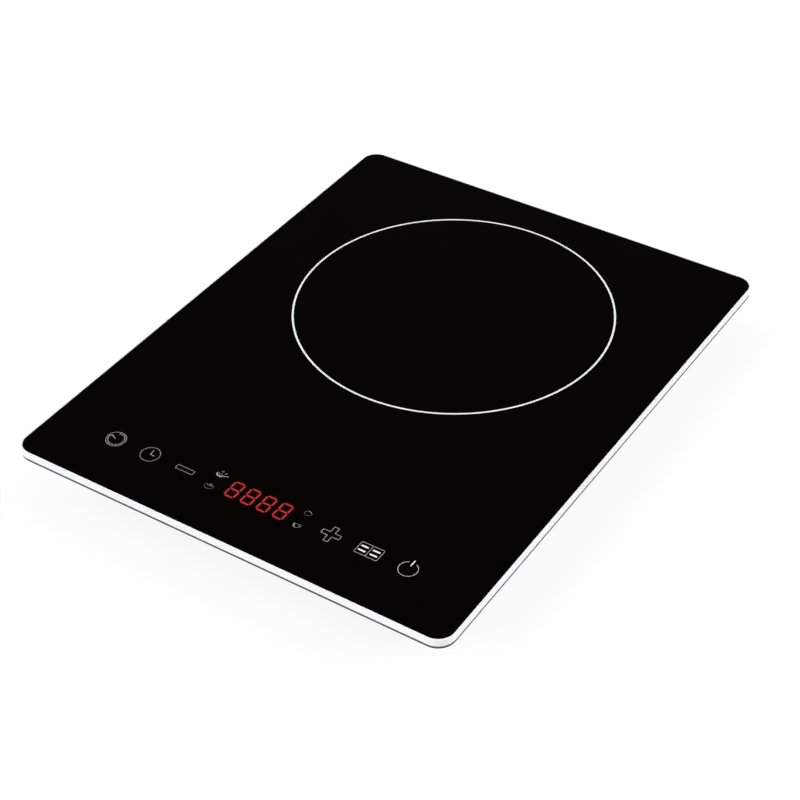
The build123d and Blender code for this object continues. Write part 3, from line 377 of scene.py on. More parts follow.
@dataclass(frozen=True)
class BoardFinish(Finish):
    """Lacquered circuit board with copper runs under the lacquer.

    Attributes:
        run: Colour over a copper run.
        pattern: Scale of the pattern of runs, per metre.
        run_width: Width of a run, in units of the pattern.
        run_length: Length between a run's crossings, in units of the pattern.
    """

    run: Colour = (0.07, 0.30, 0.15)
    pattern: float = 260.0
    run_width: float = 0.09
    run_length: float = 1.7

    def dress(self, sheet: NodeSheet, shader: Node, place: Socket) -> None:
        """Lay the runs over the drifting lacquer colour.

        Args:
            sheet: Sheet of the material's tree.
            shader: The material's shader node.
            place: Socket of the place on the piece.
        """
        super().dress(sheet, shader, place)
        lacquer = shader.inputs["Base Color"].links[0].from_socket
        sizes = {"Mortar Size": self.run_width, "Brick Width": self.run_length}
        bricks = sheet.add("ShaderNodeTexBrick", {"Vector": place, "Scale": self.pattern, **sizes})
        runs = sheet.mix(bricks.outputs["Fac"], lacquer, (*self.run, 1.0))
        sheet.tree.links.new(runs, shader.inputs["Base Color"])


class Palette:
    """Every finish of the object, made once when it is first asked for."""

    FINISHES: tuple[Finish, ...] = (
        Finish(
            "black_glass", (0.0010, 0.0003, 0.0002), (0.0014, 0.0005, 0.0004), 0.05, 0.03,
            grain=60.0, depth=0.02, rise=0.0002, drift=22.0, specular=0.05,
        ),
        PrintFinish("white_print", (0.86, 0.87, 0.87), (0.80, 0.81, 0.82)),
        PrintFinish("pale_print", (0.50, 0.50, 0.50), (0.42, 0.42, 0.42)),
        PrintFinish("grey_print", (0.40, 0.40, 0.40), (0.34, 0.34, 0.34)),
        PrintFinish("faint_print", (0.30, 0.30, 0.30), (0.25, 0.25, 0.25)),
        PrintFinish("dim_print", (0.15, 0.15, 0.15), (0.11, 0.11, 0.11)),
        Finish(
            "white_rim", (0.84, 0.858, 0.876), (0.82, 0.838, 0.856), 0.38,
            grain=2600.0, depth=0.10, rise=0.00003, drift=30.0,
        ),
        Finish(
            "charcoal_plastic", (0.040, 0.041, 0.044), (0.050, 0.051, 0.054), 0.56, 0.07,
            grain=1500.0, depth=0.5, rise=0.00008, drift=35.0,
        ),
        Finish(
            "black_rubber", (0.022, 0.022, 0.022), (0.034, 0.033, 0.032), 0.78, 0.08,
            grain=1800.0, depth=0.45, rise=0.00008, drift=180.0, specular=0.35,
        ),
        Finish("clear_silicone", (0.55, 0.55, 0.53), (0.62, 0.62, 0.60), 0.5, grain=700.0, drift=90.0),
        MetalFinish(
            "zinc_steel", (0.55, 0.55, 0.54), (0.62, 0.61, 0.58), 0.34, 0.08,
            grain=1600.0, depth=0.3, drift=220.0,
        ),
        Finish(
            "gland_plastic", (0.026, 0.026, 0.027), (0.036, 0.036, 0.037), 0.5,
            grain=2200.0, depth=0.35, rise=0.00006, drift=120.0,
        ),
        Finish("former_plastic", (0.60, 0.55, 0.43), (0.66, 0.61, 0.49), 0.55, grain=1200.0, drift=45.0),
        MetalFinish(
            "copper_wire", (0.68, 0.30, 0.15), (0.58, 0.24, 0.12), 0.32,
            grain=2600.0, depth=0.4, drift=90.0,
        ),
        Finish(
            "ferrite", (0.045, 0.045, 0.048), (0.065, 0.064, 0.066), 0.62,
            relief=Relief.CELLS, grain=2400.0, depth=0.4, drift=120.0,
        ),
        Finish(
            "mica", (0.52, 0.47, 0.33), (0.60, 0.55, 0.42), 0.4,
            relief=Relief.CELLS, grain=420.0, depth=0.3, drift=110.0,
        ),
        Finish(
            "fibre_mat", (0.80, 0.79, 0.75), (0.70, 0.69, 0.66), 0.9,
            relief=Relief.CELLS, grain=1400.0, depth=0.8, rise=0.0002, drift=160.0,
        ),
        MetalFinish(
            "spring_steel", (0.58, 0.58, 0.58), (0.50, 0.50, 0.51), 0.26, grain=2400.0, drift=220.0,
        ),
        Finish("white_silicone", (0.78, 0.78, 0.76), (0.72, 0.72, 0.70), 0.55, grain=1500.0, drift=150.0),
        BoardFinish(
            "circuit_board", (0.018, 0.105, 0.050), (0.024, 0.125, 0.062), 0.34,
            grain=900.0, depth=0.2, drift=60.0,
        ),
        Finish(
            "display_body", (0.035, 0.035, 0.036), (0.045, 0.045, 0.046), 0.4,
            grain=2200.0, drift=120.0,
        ),
        LitFinish(
            "lit_red", (0.020, 0.002, 0.002), (0.015, 0.002, 0.002), 0.35, 0.05,
            depth=0.1, specular=0.2,
        ),
        # Painted glow: lit_glow and lit_haze make the glass beside the figures' bars shine, standing in
        # for light that spreads from the bars.
        LitFinish(
            "lit_glow", (0.0020, 0.0005, 0.0004), (0.0014, 0.0004, 0.0003), 0.12, 0.04,
            depth=0.05, specular=0.0, glow=(0.095, 0.0012, 0.0012), dim=(0.07, 0.0008, 0.0008),
        ),
        LitFinish(
            "lit_haze", (0.0012, 0.0003, 0.0002), (0.0010, 0.0003, 0.0002), 0.12, 0.04,
            depth=0.05, specular=0.0, glow=(0.021, 0.0003, 0.0003), dim=(0.013, 0.0002, 0.0002),
        ),
        Finish(
            "package_black", (0.018, 0.018, 0.019), (0.026, 0.026, 0.027), 0.6,
            grain=2800.0, depth=0.4, drift=150.0,
        ),
        Finish("thermal_pad", (0.45, 0.49, 0.54), (0.40, 0.44, 0.49), 0.7, grain=1400.0, drift=120.0),
        MetalFinish(
            "sink_aluminium", (0.70, 0.71, 0.72), (0.62, 0.63, 0.65), 0.38, 0.08,
            grain=1500.0, depth=0.35, drift=70.0,
        ),
        Finish("capacitor_yellow", (0.62, 0.42, 0.05), (0.68, 0.48, 0.08), 0.42, grain=1600.0, drift=70.0),
        Finish(
            "capacitor_can", (0.12, 0.14, 0.19), (0.15, 0.17, 0.22), 0.36,
            grain=1800.0, depth=0.15, drift=110.0,
        ),
        Finish(
            "transformer_tape", (0.60, 0.40, 0.05), (0.66, 0.46, 0.07), 0.38,
            relief=Relief.LINES, grain=500.0, drift=70.0,
        ),
        Finish(
            "fuse_glass", (0.70, 0.74, 0.74), (0.64, 0.69, 0.70), 0.12, 0.04,
            grain=300.0, depth=0.08, drift=200.0,
        ),
        MetalFinish(
            "tinned_brass", (0.60, 0.55, 0.42), (0.54, 0.47, 0.33), 0.34, grain=1700.0, drift=200.0,
        ),
        Finish("socket_white", (0.78, 0.77, 0.72), (0.73, 0.72, 0.66), 0.5, grain=1800.0, drift=140.0),
        Finish(
            "ribbon_grey", (0.38, 0.38, 0.40), (0.32, 0.32, 0.34), 0.5,
            relief=Relief.LINES, grain=800.0, depth=0.5, drift=120.0,
        ),
        Finish("lead_red", (0.45, 0.03, 0.025), (0.38, 0.025, 0.02), 0.45, grain=1500.0, drift=110.0),
        Finish(
            "contact_foam", (0.05, 0.05, 0.052), (0.07, 0.07, 0.072), 0.9,
            relief=Relief.CELLS, grain=1900.0, depth=0.8, rise=0.00015, drift=200.0,
        ),
        Finish(
            "fan_plastic", (0.020, 0.020, 0.021), (0.028, 0.028, 0.029), 0.48,
            grain=2300.0, depth=0.3, drift=80.0,
        ),
        MetalFinish(
            "stator_steel", (0.36, 0.35, 0.34), (0.30, 0.29, 0.28), 0.45, grain=1500.0, drift=160.0,
        ),
        MetalFinish(
            "plate_aluminium", (0.66, 0.67, 0.68), (0.60, 0.61, 0.62), 0.34,
            grain=2200.0, depth=0.35, rise=0.00003, drift=60.0,
        ),
    )

    def __init__(self) -> None:
        """Sort the finishes by name, with nothing made yet."""
        self.by_name = {finish.name: finish for finish in self.FINISHES}
        self.made: dict[str, Material] = {}

    def get(self, name: str) -> Material:
        """Give a material, and make it the first time.

        Args:
            name: Name of the finish.

        Returns:
            The finish's material.
        """
        if name not in self.made:
            self.made[name] = self.by_name[name].build()
        return self.made[name]


PALETTE = Palette()


def dress_solids(solids: Solids) -> None:
    """Put finishes on solids.

    Args:
        solids: Names of the solids, by name of their finish.
    """
    for finish, names in solids.items():
        for name in names:
            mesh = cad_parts[name].data
            mesh.materials.clear()
            mesh.materials.append(PALETTE.get(finish))
            LOG.info("dressed %s in %s", name, finish)


def add_piece(name: str, mesh: Mesh, finish: str) -> Piece:
    """Put a new mesh in the scene.

    Args:
        name: Name of the piece.
        mesh: The mesh, in the frame of the solids.
        finish: Name of the finish.

    Returns:
        The new object, at the origin.
    """
    mesh.name = name
    mesh.materials.clear()
    mesh.materials.append(PALETTE.get(finish))
    piece = bpy.data.objects.new(name, mesh)
    bpy.context.scene.collection.objects.link(piece)
    return piece


def settle(piece: Piece) -> None:
    """Let a finished piece ride on the root body.

    Args:
        piece: The finished piece.
    """
    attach(piece, "root")
    LOG.info("built %s with %d faces", piece.name, len(piece.data.polygons))


class NodeTrees:
    """Geometry node trees for what repeats or follows a path."""

    def __init__(self) -> None:
        """Build every tree."""
        self.line = self.build_line()
        self.row = self.build_row()
        self.wheel = self.build_wheel()
        self.corners = self.build_corners()

    @staticmethod
    def start(name: str, sizes: SocketKinds) -> tuple[NodeSheet, Any]:
        """Start a tree that takes a geometry, sizes and a material, and gives a geometry."""
        inputs = {"Geometry": "Geometry", **sizes, "Material": "Material"}
        return start_tree("GeometryNodeTree", name, inputs, {"Geometry": "Geometry"})

    @staticmethod
    def end(sheet: NodeSheet, given: Any, shape: Socket) -> Tree:
        """Make the copies real and set the material.

        Args:
            sheet: Sheet of the tree.
            given: The sockets that the tree is given.
            shape: Socket of the finished shape.

        Returns:
            The finished tree.
        """
        real = sheet.add("GeometryNodeRealizeInstances", {"Geometry": shape}).outputs["Geometry"]
        inputs = {"Geometry": real, "Material": given["Material"]}
        dressed = sheet.add("GeometryNodeSetMaterial", inputs)
        sheet.add("NodeGroupOutput", {"Geometry": dressed.outputs["Geometry"]})
        return sheet.tree

    def end_copies(self, sheet: NodeSheet, given: Any, places: dict[str, Socket]) -> Tree:
        """Copy the given geometry to places and end the tree.

        Args:
            sheet: Sheet of the tree.
            given: The sockets that the tree is given.
            places: Sockets of the points, and of the turns if there are any, by input name.

        Returns:
            The finished tree.
        """
        inputs = {"Instance": given["Geometry"], **places}
        copies = sheet.add("GeometryNodeInstanceOnPoints", inputs)
        return self.end(sheet, given, copies.outputs["Instances"])

    def build_line(self) -> Tree:
        """Build a printed line of one width along each drawn path.

        Returns:
            The finished tree.
        """
        sheet, given = self.start("printed_line", {"Width": "Float", "Height": "Float"})
        path = sheet.add("GeometryNodeMeshToCurve", {"Mesh": given["Geometry"]}).outputs["Curve"]
        upright = sheet.add("GeometryNodeSetCurveNormal", {"Curve": path}, mode="Z_UP")
        section = sheet.add(
            "GeometryNodeCurvePrimitiveQuadrilateral",
            {"Width": given["Width"], "Height": given["Height"]},
        )
        curves = {"Curve": upright.outputs["Curve"], "Profile Curve": section.outputs["Curve"]}
        line = sheet.add("GeometryNodeCurveToMesh", {**curves, "Fill Caps": True})
        return self.end(sheet, given, line.outputs["Mesh"])

    def build_row(self) -> Tree:
        """Build copies of a shape in a straight row.

        Returns:
            The finished tree.
        """
        sheet, given = self.start("straight_row", {"Count": "Int", "Step": "Vector"})
        inputs = {"Count": given["Count"], "Offset": given["Step"]}
        places = sheet.add("GeometryNodeMeshLine", inputs)
        return self.end_copies(sheet, given, {"Points": places.outputs["Mesh"]})

    def build_wheel(self) -> Tree:
        """Build copies of a shape turned round a centre.

        Returns:
            The finished tree.
        """
        sizes = {"Count": "Int", "Centre": "Vector", "Start": "Float", "Step": "Float"}
        sheet, given = self.start("turned_wheel", sizes)
        inputs = {"Count": given["Count"], "Position": given["Centre"]}
        places = sheet.add("GeometryNodePoints", inputs).outputs["Points"]
        index = sheet.add("GeometryNodeInputIndex").outputs["Index"]
        turn = sheet.add(
            "ShaderNodeMath", {0: index, 1: given["Step"], 2: given["Start"]}, operation="MULTIPLY_ADD"
        )
        axis = sheet.add("ShaderNodeCombineXYZ", {"Z": turn.outputs[0]}).outputs["Vector"]
        return self.end_copies(sheet, given, {"Points": places, "Rotation": axis})

    def build_corners(self) -> Tree:
        """Build copies of a shape at the corners of a rectangle.

        Returns:
            The finished tree.
        """
        sheet, given = self.start("four_corners", {"Width": "Float", "Depth": "Float"})
        sides = {"Size X": given["Width"], "Size Y": given["Depth"]}
        places = sheet.add("GeometryNodeMeshGrid", {**sides, "Vertices X": 2, "Vertices Y": 2})
        return self.end_copies(sheet, given, {"Points": places.outputs["Mesh"]})

    @staticmethod
    def run(tree: Tree, mesh: Mesh, values: dict[str, Any]) -> Mesh:
        """Run a tree on a mesh and keep the result as a plain mesh.

        Args:
            tree: The tree to run.
            mesh: The geometry that the tree takes, which is removed.
            values: Sizes and the material, by input name.

        Returns:
            The plain mesh.
        """
        carrier = bpy.data.objects.new("carrier", mesh)
        bpy.context.scene.collection.objects.link(carrier)
        modifier = carrier.modifiers.new("nodes", "NODES")
        modifier.node_group = tree
        for socket in tree.interface.items_tree:
            if socket.in_out == "INPUT" and socket.name in values:
                modifier[socket.identifier] = values[socket.name]
        graph = bpy.context.evaluated_depsgraph_get()
        made = bpy.data.meshes.new_from_object(carrier.evaluated_get(graph))
        carrier.modifiers.clear()
        bpy.data.objects.remove(carrier)
        bpy.data.meshes.remove(mesh)
        return made


TREES = NodeTrees()


def grow_piece(name: str, tree: Tree, mesh: Mesh, sizes: dict[str, Any], finish: str) -> Piece:
    """Run a tree on a mesh, with sizes by input name, and put the result in the scene."""
    grown = TREES.run(tree, mesh, {**sizes, "Material": PALETTE.get(finish)})
    return add_piece(name, grown, finish)


class Drawing:
    """Flat outlines in millimetres, as lists of points."""

    @staticmethod
    def arc(centre: Point, radius: float, start: float, end: float, steps: int = 40) -> Line:
        """Open arc.

        Args:
            centre: Centre of the arc.
            radius: Radius of the arc.
            start: First angle in degrees.
            end: Last angle in degrees.
            steps: Number of short runs.

        Returns:
            The arc's points, open.
        """
        points = []
        for step in range(steps + 1):
            angle = math.radians(start + (end - start) * step / steps)
            points.append((radius * math.cos(angle), radius * math.sin(angle)))
        return Drawing.path(points, centre)

    @staticmethod
    def circle(centre: Point, radius: float, steps: int = 72) -> Line:
        """Closed circle of a number of short runs."""
        points, _ = Drawing.arc(centre, radius, 0.0, 360.0, steps)
        return points[:-1], True

    @staticmethod
    def rounded(corners: Sequence[Point], radius: float, steps: int = 6) -> Line:
        """Closed outline with rounded corners.

        Args:
            corners: The outline's corners in order.
            radius: Radius of each corner.
            steps: Number of short runs in a corner.

        Returns:
            The outline's points, closed.
        """
        points = []
        count = len(corners)
        for index, corner in enumerate(corners):
            here = Vector(corner)
            back = (Vector(corners[index - 1]) - here).normalized()
            ahead = (Vector(corners[(index + 1) % count]) - here).normalized()
            for step in range(steps + 1):
                share = step / steps
                from_back = here + back * radius * (1 - share)
                to_ahead = here + ahead * radius * share
                points.append(tuple(from_back.lerp(to_ahead, share)))
        return points, True

    @staticmethod
    def smooth(points: Sequence[Point], steps: int = 5) -> Outline:
        """Smooth curve through points.

        Args:
            points: The points to pass through.
            steps: Number of short runs between two points.

        Returns:
            The curve's points, from the first point to the last.
        """
        known = [Vector(point) for point in (points[0], *points, points[-1])]
        curve = []
        for before, here, there, after in zip(known, known[1:], known[2:], known[3:]):
            leave, reach = (there - before) / 2, (after - here) / 2
            bend = (here - there) * 2 + leave + reach
            turn = (there - here) * 3 - leave * 2 - reach
            for step in range(steps):
                share = step / steps
                curve.append(tuple(here + leave * share + turn * share**2 + bend * share**3))
        return [*curve, tuple(known[-1])]

    @staticmethod
    def moved(points: Sequence[Point], place: Point) -> Outline:
        """Points with their own origin put at a place."""
        return [(x + place[0], y + place[1]) for x, y in points]

    @staticmethod
    def path(points: Sequence[Point], place: Point) -> Line:
        """Open line through points with their own origin put at a place."""
        return Drawing.moved(points, place), False

    @staticmethod
    def box(centre: Point, width: float, height: float) -> Outline:
        """Corners of a rectangle, counter-clockwise."""
        x, y = width / 2, height / 2
        return Drawing.moved([(-x, -y), (x, -y), (x, y), (-x, y)], centre)


def path_mesh(lines: Sequence[Line], z: float) -> Mesh:
    """Mesh of edges along drawn lines.

    Args:
        lines: The lines in millimetres.
        z: Height of the lines in metres.

    Returns:
        The mesh, with edges alone.
    """
    places: list[tuple[float, float, float]] = []
    edges: list[tuple[int, int]] = []
    for points, closed in lines:
        first = len(places)
        places += [(x * MM, y * MM, z) for x, y in points]
        last = len(places) - 1
        edges += [(index, index + 1) for index in range(first, last)]
        if closed:
            edges.append((last, first))
    mesh = bpy.data.meshes.new("path")
    mesh.from_pydata(places, edges, [])
    return mesh


def plain_mesh(name: str, shape: bmesh.types.BMesh) -> Mesh:
    """Turn a shape that is being built into a mesh.

    Args:
        name: Name of the mesh.
        shape: The shape, which is freed.

    Returns:
        The new mesh.
    """
    mesh = bpy.data.meshes.new(name)
    shape.to_mesh(mesh)
    shape.free()
    return mesh


def prism_mesh(outlines: Sequence[Sequence[Point]], low: float, high: float) -> Mesh:
    """Closed flat prisms.

    Args:
        outlines: Corners of each prism in millimetres, counter-clockwise.
        low: Height of the undersides in metres.
        high: Height of the tops in metres.

    Returns:
        The mesh of all the prisms.
    """
    shape = bmesh.new()
    for outline in outlines:
        under = [shape.verts.new((x * MM, y * MM, low)) for x, y in outline]
        over = [shape.verts.new((x * MM, y * MM, high)) for x, y in outline]
        shape.faces.new(list(reversed(under)))
        shape.faces.new(over)
        for index, corner in enumerate(under):
            after = (index + 1) % len(under)
            shape.faces.new((corner, under[after], over[after], over[index]))
    return plain_mesh("prisms", shape)


def lathe_mesh(profile: Sequence[Point], steps: int) -> Mesh:
    """Solid turned round Z.

    Args:
        profile: Radius and height in millimetres, from the lower pole to the upper one.
        steps: Number of steps round the axis.

    Returns:
        The closed mesh.
    """
    shape = bmesh.new()
    angles = [2 * math.pi * step / steps for step in range(steps)]
    rings = []
    for radius, height in profile:
        reach, z = radius * MM, height * MM
        if radius == 0:
            rings.append([shape.verts.new((0, 0, z))] * steps)
        else:
            round_z = [(reach * math.cos(angle), reach * math.sin(angle), z) for angle in angles]
            rings.append([shape.verts.new(place) for place in round_z])
    for inner, outer in zip(rings, rings[1:]):
        for step in range(steps):
            after = (step + 1) % steps
            corners = [inner[step], inner[after], outer[after], outer[step]]
            shape.faces.new(list(dict.fromkeys(corners)))
    bmesh.ops.recalc_face_normals(shape, faces=shape.faces[:])
    return plain_mesh("turned", shape)


class GlassTop:
    """Glass plate with the printed ring of the cooking zone.

    Attributes:
        SOLIDS: Solids of the top, by finish.
    """

    SOLIDS: Solids = {
        "black_glass": ("glass_panel",),
        "white_print": ("zone_ring",),
        "clear_silicone": ("glass_bond",),
    }

    def build(self) -> None:
        """Dress the plate, its ring and its bead."""
        dress_solids(self.SOLIDS)


@dataclass
class GlassPrint:
    """Thin print on the glass.

    Attributes:
        surface: Height of the glass.
        rise: Half the thickness of the print.
    """

    surface: float
    rise: float = 0.00002

    def lines(self, name: str, drawn: Sequence[Line], width_mm: float, finish: str) -> None:
        """Print lines of one width.

        Args:
            name: Name of the piece.
            drawn: The lines in millimetres.
            width_mm: Width of the lines.
            finish: Name of the finish.
        """
        sizes = {"Width": width_mm * MM, "Height": 2 * self.rise}
        paths = path_mesh(drawn, self.surface)
        settle(grow_piece(name, TREES.line, paths, sizes, finish))

    def flat(self, outlines: Sequence[Sequence[Point]]) -> Mesh:
        """Closed fields of print, from outlines in millimetres, counter-clockwise."""
        return prism_mesh(outlines, self.surface - self.rise, self.surface + self.rise)


@dataclass
class KeyPrints(GlassPrint):
    """Printed signs of the touch keys.

    Attributes:
        dial_mm: Middle of the dial sign.
        clock_mm: Middle of the clock sign.
        minus_mm: Middle of the minus sign.
        plus_mm: Middle of the plus sign.
        menu_mm: Middle of the menu sign.
        power_mm: Middle of the power sign.
        line_mm: Width of a sign's line.
        fine_mm: Width of the dial sign's rings.
        bold_mm: Width of the hands, of the pointer and of the power sign's ring.
        stem_mm: Width of the power sign's stem.
        mark_mm: Width of a mark on the dial's scale.
        dial_radii_mm: Radius of the dial sign's outer and inner ring.
        scale_arc: First and last angle of the dial's scale, in degrees.
        scale_marks: Number of marks on the dial's scale.
        clock_radius_mm: Radius of the clock sign.
        minus_size_mm: Width and height of the minus sign.
        plus_reach_mm: Length of the plus sign's arms, from the middle.
        plus_arm_mm: Half the width of the plus sign's arms.
        menu_size_mm: Width and height of the menu sign.
        bar_size_mm: Width and height of a bar in the menu sign.
        first_bar_mm: Place of the menu sign's first bar, from the sign's middle.
        bar_pitch_mm: Distance of the menu sign's bars, along and across.
        power_radius_mm: Radius of the power sign's ring.
        power_arc: First and last angle of the power sign's ring, in degrees.
        clock_hands: Points of the clock's hands, from the sign's middle.
        dial_pointer: Points of the dial's pointer, from the sign's middle.
        menu_divider: Points of the menu sign's divider, from the sign's middle.
        power_stem: Points of the stem in the ring's gap, from the sign's middle.
    """

    dial_mm: Point = (-99.6, -149.4)
    clock_mm: Point = (-74.6, -149.4)
    minus_mm: Point = (-49.7, -149.2)
    plus_mm: Point = (50.1, -148.8)
    menu_mm: Point = (74.9, -148.7)
    power_mm: Point = (99.9, -149.0)
    line_mm: float = 0.34
    fine_mm: float = 0.26
    bold_mm: float = 0.38
    stem_mm: float = 0.72
    mark_mm: float = 0.2
    dial_radii_mm: Point = (6.1, 4.75)
    scale_arc: Point = (156.0, 465.0)
    scale_marks: int = 34
    clock_radius_mm: float = 5.9
    minus_size_mm: Point = (11.8, 3.2)
    plus_reach_mm: float = 5.95
    plus_arm_mm: float = 1.5
    menu_size_mm: Point = (14.6, 8.9)
    bar_size_mm: Point = (4.6, 1.1)
    first_bar_mm: Point = (-3.85, -1.7)
    bar_pitch_mm: Point = (7.5, 3.4)
    power_radius_mm: float = 5.55
    power_arc: Point = (114.0, 425.0)
    clock_hands: Points = ((-0.1, 3.7), (-0.1, 0.1), (2.7, -0.1))
    dial_pointer: Points = ((-4.6, 1.9), (-0.7, 0.1))
    menu_divider: Points = ((-0.1, -4.4), (-0.1, 4.4))
    power_stem: Points = ((-0.1, 2.6), (-0.1, 7.2))

    def build(self) -> None:
        """Build every sign as thin prints on the glass."""
        clock = Drawing.circle(self.clock_mm, self.clock_radius_mm)
        hands = Drawing.path(self.clock_hands, self.clock_mm)
        pointer = Drawing.path(self.dial_pointer, self.dial_mm)
        ring = Drawing.arc(self.power_mm, self.power_radius_mm, *self.power_arc, steps=60)
        stem = Drawing.path(self.power_stem, self.power_mm)
        self.lines("left_key_signs", [clock, self.minus()], self.line_mm, "faint_print")
        self.lines("right_key_signs", [self.plus(), *self.menu()], self.line_mm, "grey_print")
        self.lines("key_hands", [hands, pointer], self.bold_mm, "pale_print")
        self.lines("dial_rings", self.dial_rings(), self.fine_mm, "grey_print")
        self.dial_marks()
        self.menu_bars()
        self.lines("power_ring", [ring], self.bold_mm, "pale_print")
        self.lines("power_stem", [stem], self.stem_mm, "white_print")

    def minus(self) -> Line:
        """Outline of a bar."""
        return Drawing.rounded(Drawing.box(self.minus_mm, *self.minus_size_mm), radius=0.4)

    def plus(self) -> Line:
        """Outline of a cross.

        Returns:
            The cross's points, closed.
        """
        reach, arm = self.plus_reach_mm, self.plus_arm_mm
        corners = [
            (-arm, -reach), (arm, -reach), (arm, -arm), (reach, -arm), (reach, arm), (arm, arm),
            (arm, reach), (-arm, reach), (-arm, arm), (-reach, arm), (-reach, -arm), (-arm, -arm),
        ]
        outline, closed = Drawing.rounded(corners, radius=0.3)
        return Drawing.moved(outline, self.plus_mm), closed

    def menu(self) -> list[Line]:
        """Outline of a rounded box with a divider."""
        box = Drawing.rounded(Drawing.box(self.menu_mm, *self.menu_size_mm), radius=0.8)
        return [box, Drawing.path(self.menu_divider, self.menu_mm)]

    def menu_bars(self) -> None:
        """Print the four bars in the menu sign, as one column that is repeated."""
        along, across = self.bar_pitch_mm
        x = self.menu_mm[0] + self.first_bar_mm[0]
        low = self.menu_mm[1] + self.first_bar_mm[1]
        column = self.flat([Drawing.box((x, y), *self.bar_size_mm) for y in (low, low + across)])
        sizes = {"Count": 2, "Step": (along * MM, 0.0, 0.0)}
        settle(grow_piece("menu_bars", TREES.row, column, sizes, "white_print"))

    def dial_rings(self) -> list[Line]:
        """Full ring, and an inner ring that is open at the scale's ends."""
        outer, inner = self.dial_radii_mm
        return [Drawing.circle(self.dial_mm, outer), Drawing.arc(self.dial_mm, inner, *self.scale_arc)]

    def dial_marks(self) -> None:
        """Print the short marks between the rings of the dial sign."""
        first, last = (math.radians(angle) for angle in self.scale_arc)
        outer, inner = self.dial_radii_mm
        mark = self.flat([Drawing.box(((outer + inner) / 2, 0.0), outer - inner, self.mark_mm)])
        sizes = {
            "Count": self.scale_marks,
            "Centre": (self.dial_mm[0] * MM, self.dial_mm[1] * MM, 0.0),
            "Start": first,
            "Step": (last - first) / (self.scale_marks - 1),
        }
        settle(grow_piece("dial_marks", TREES.wheel, mark, sizes, "faint_print"))


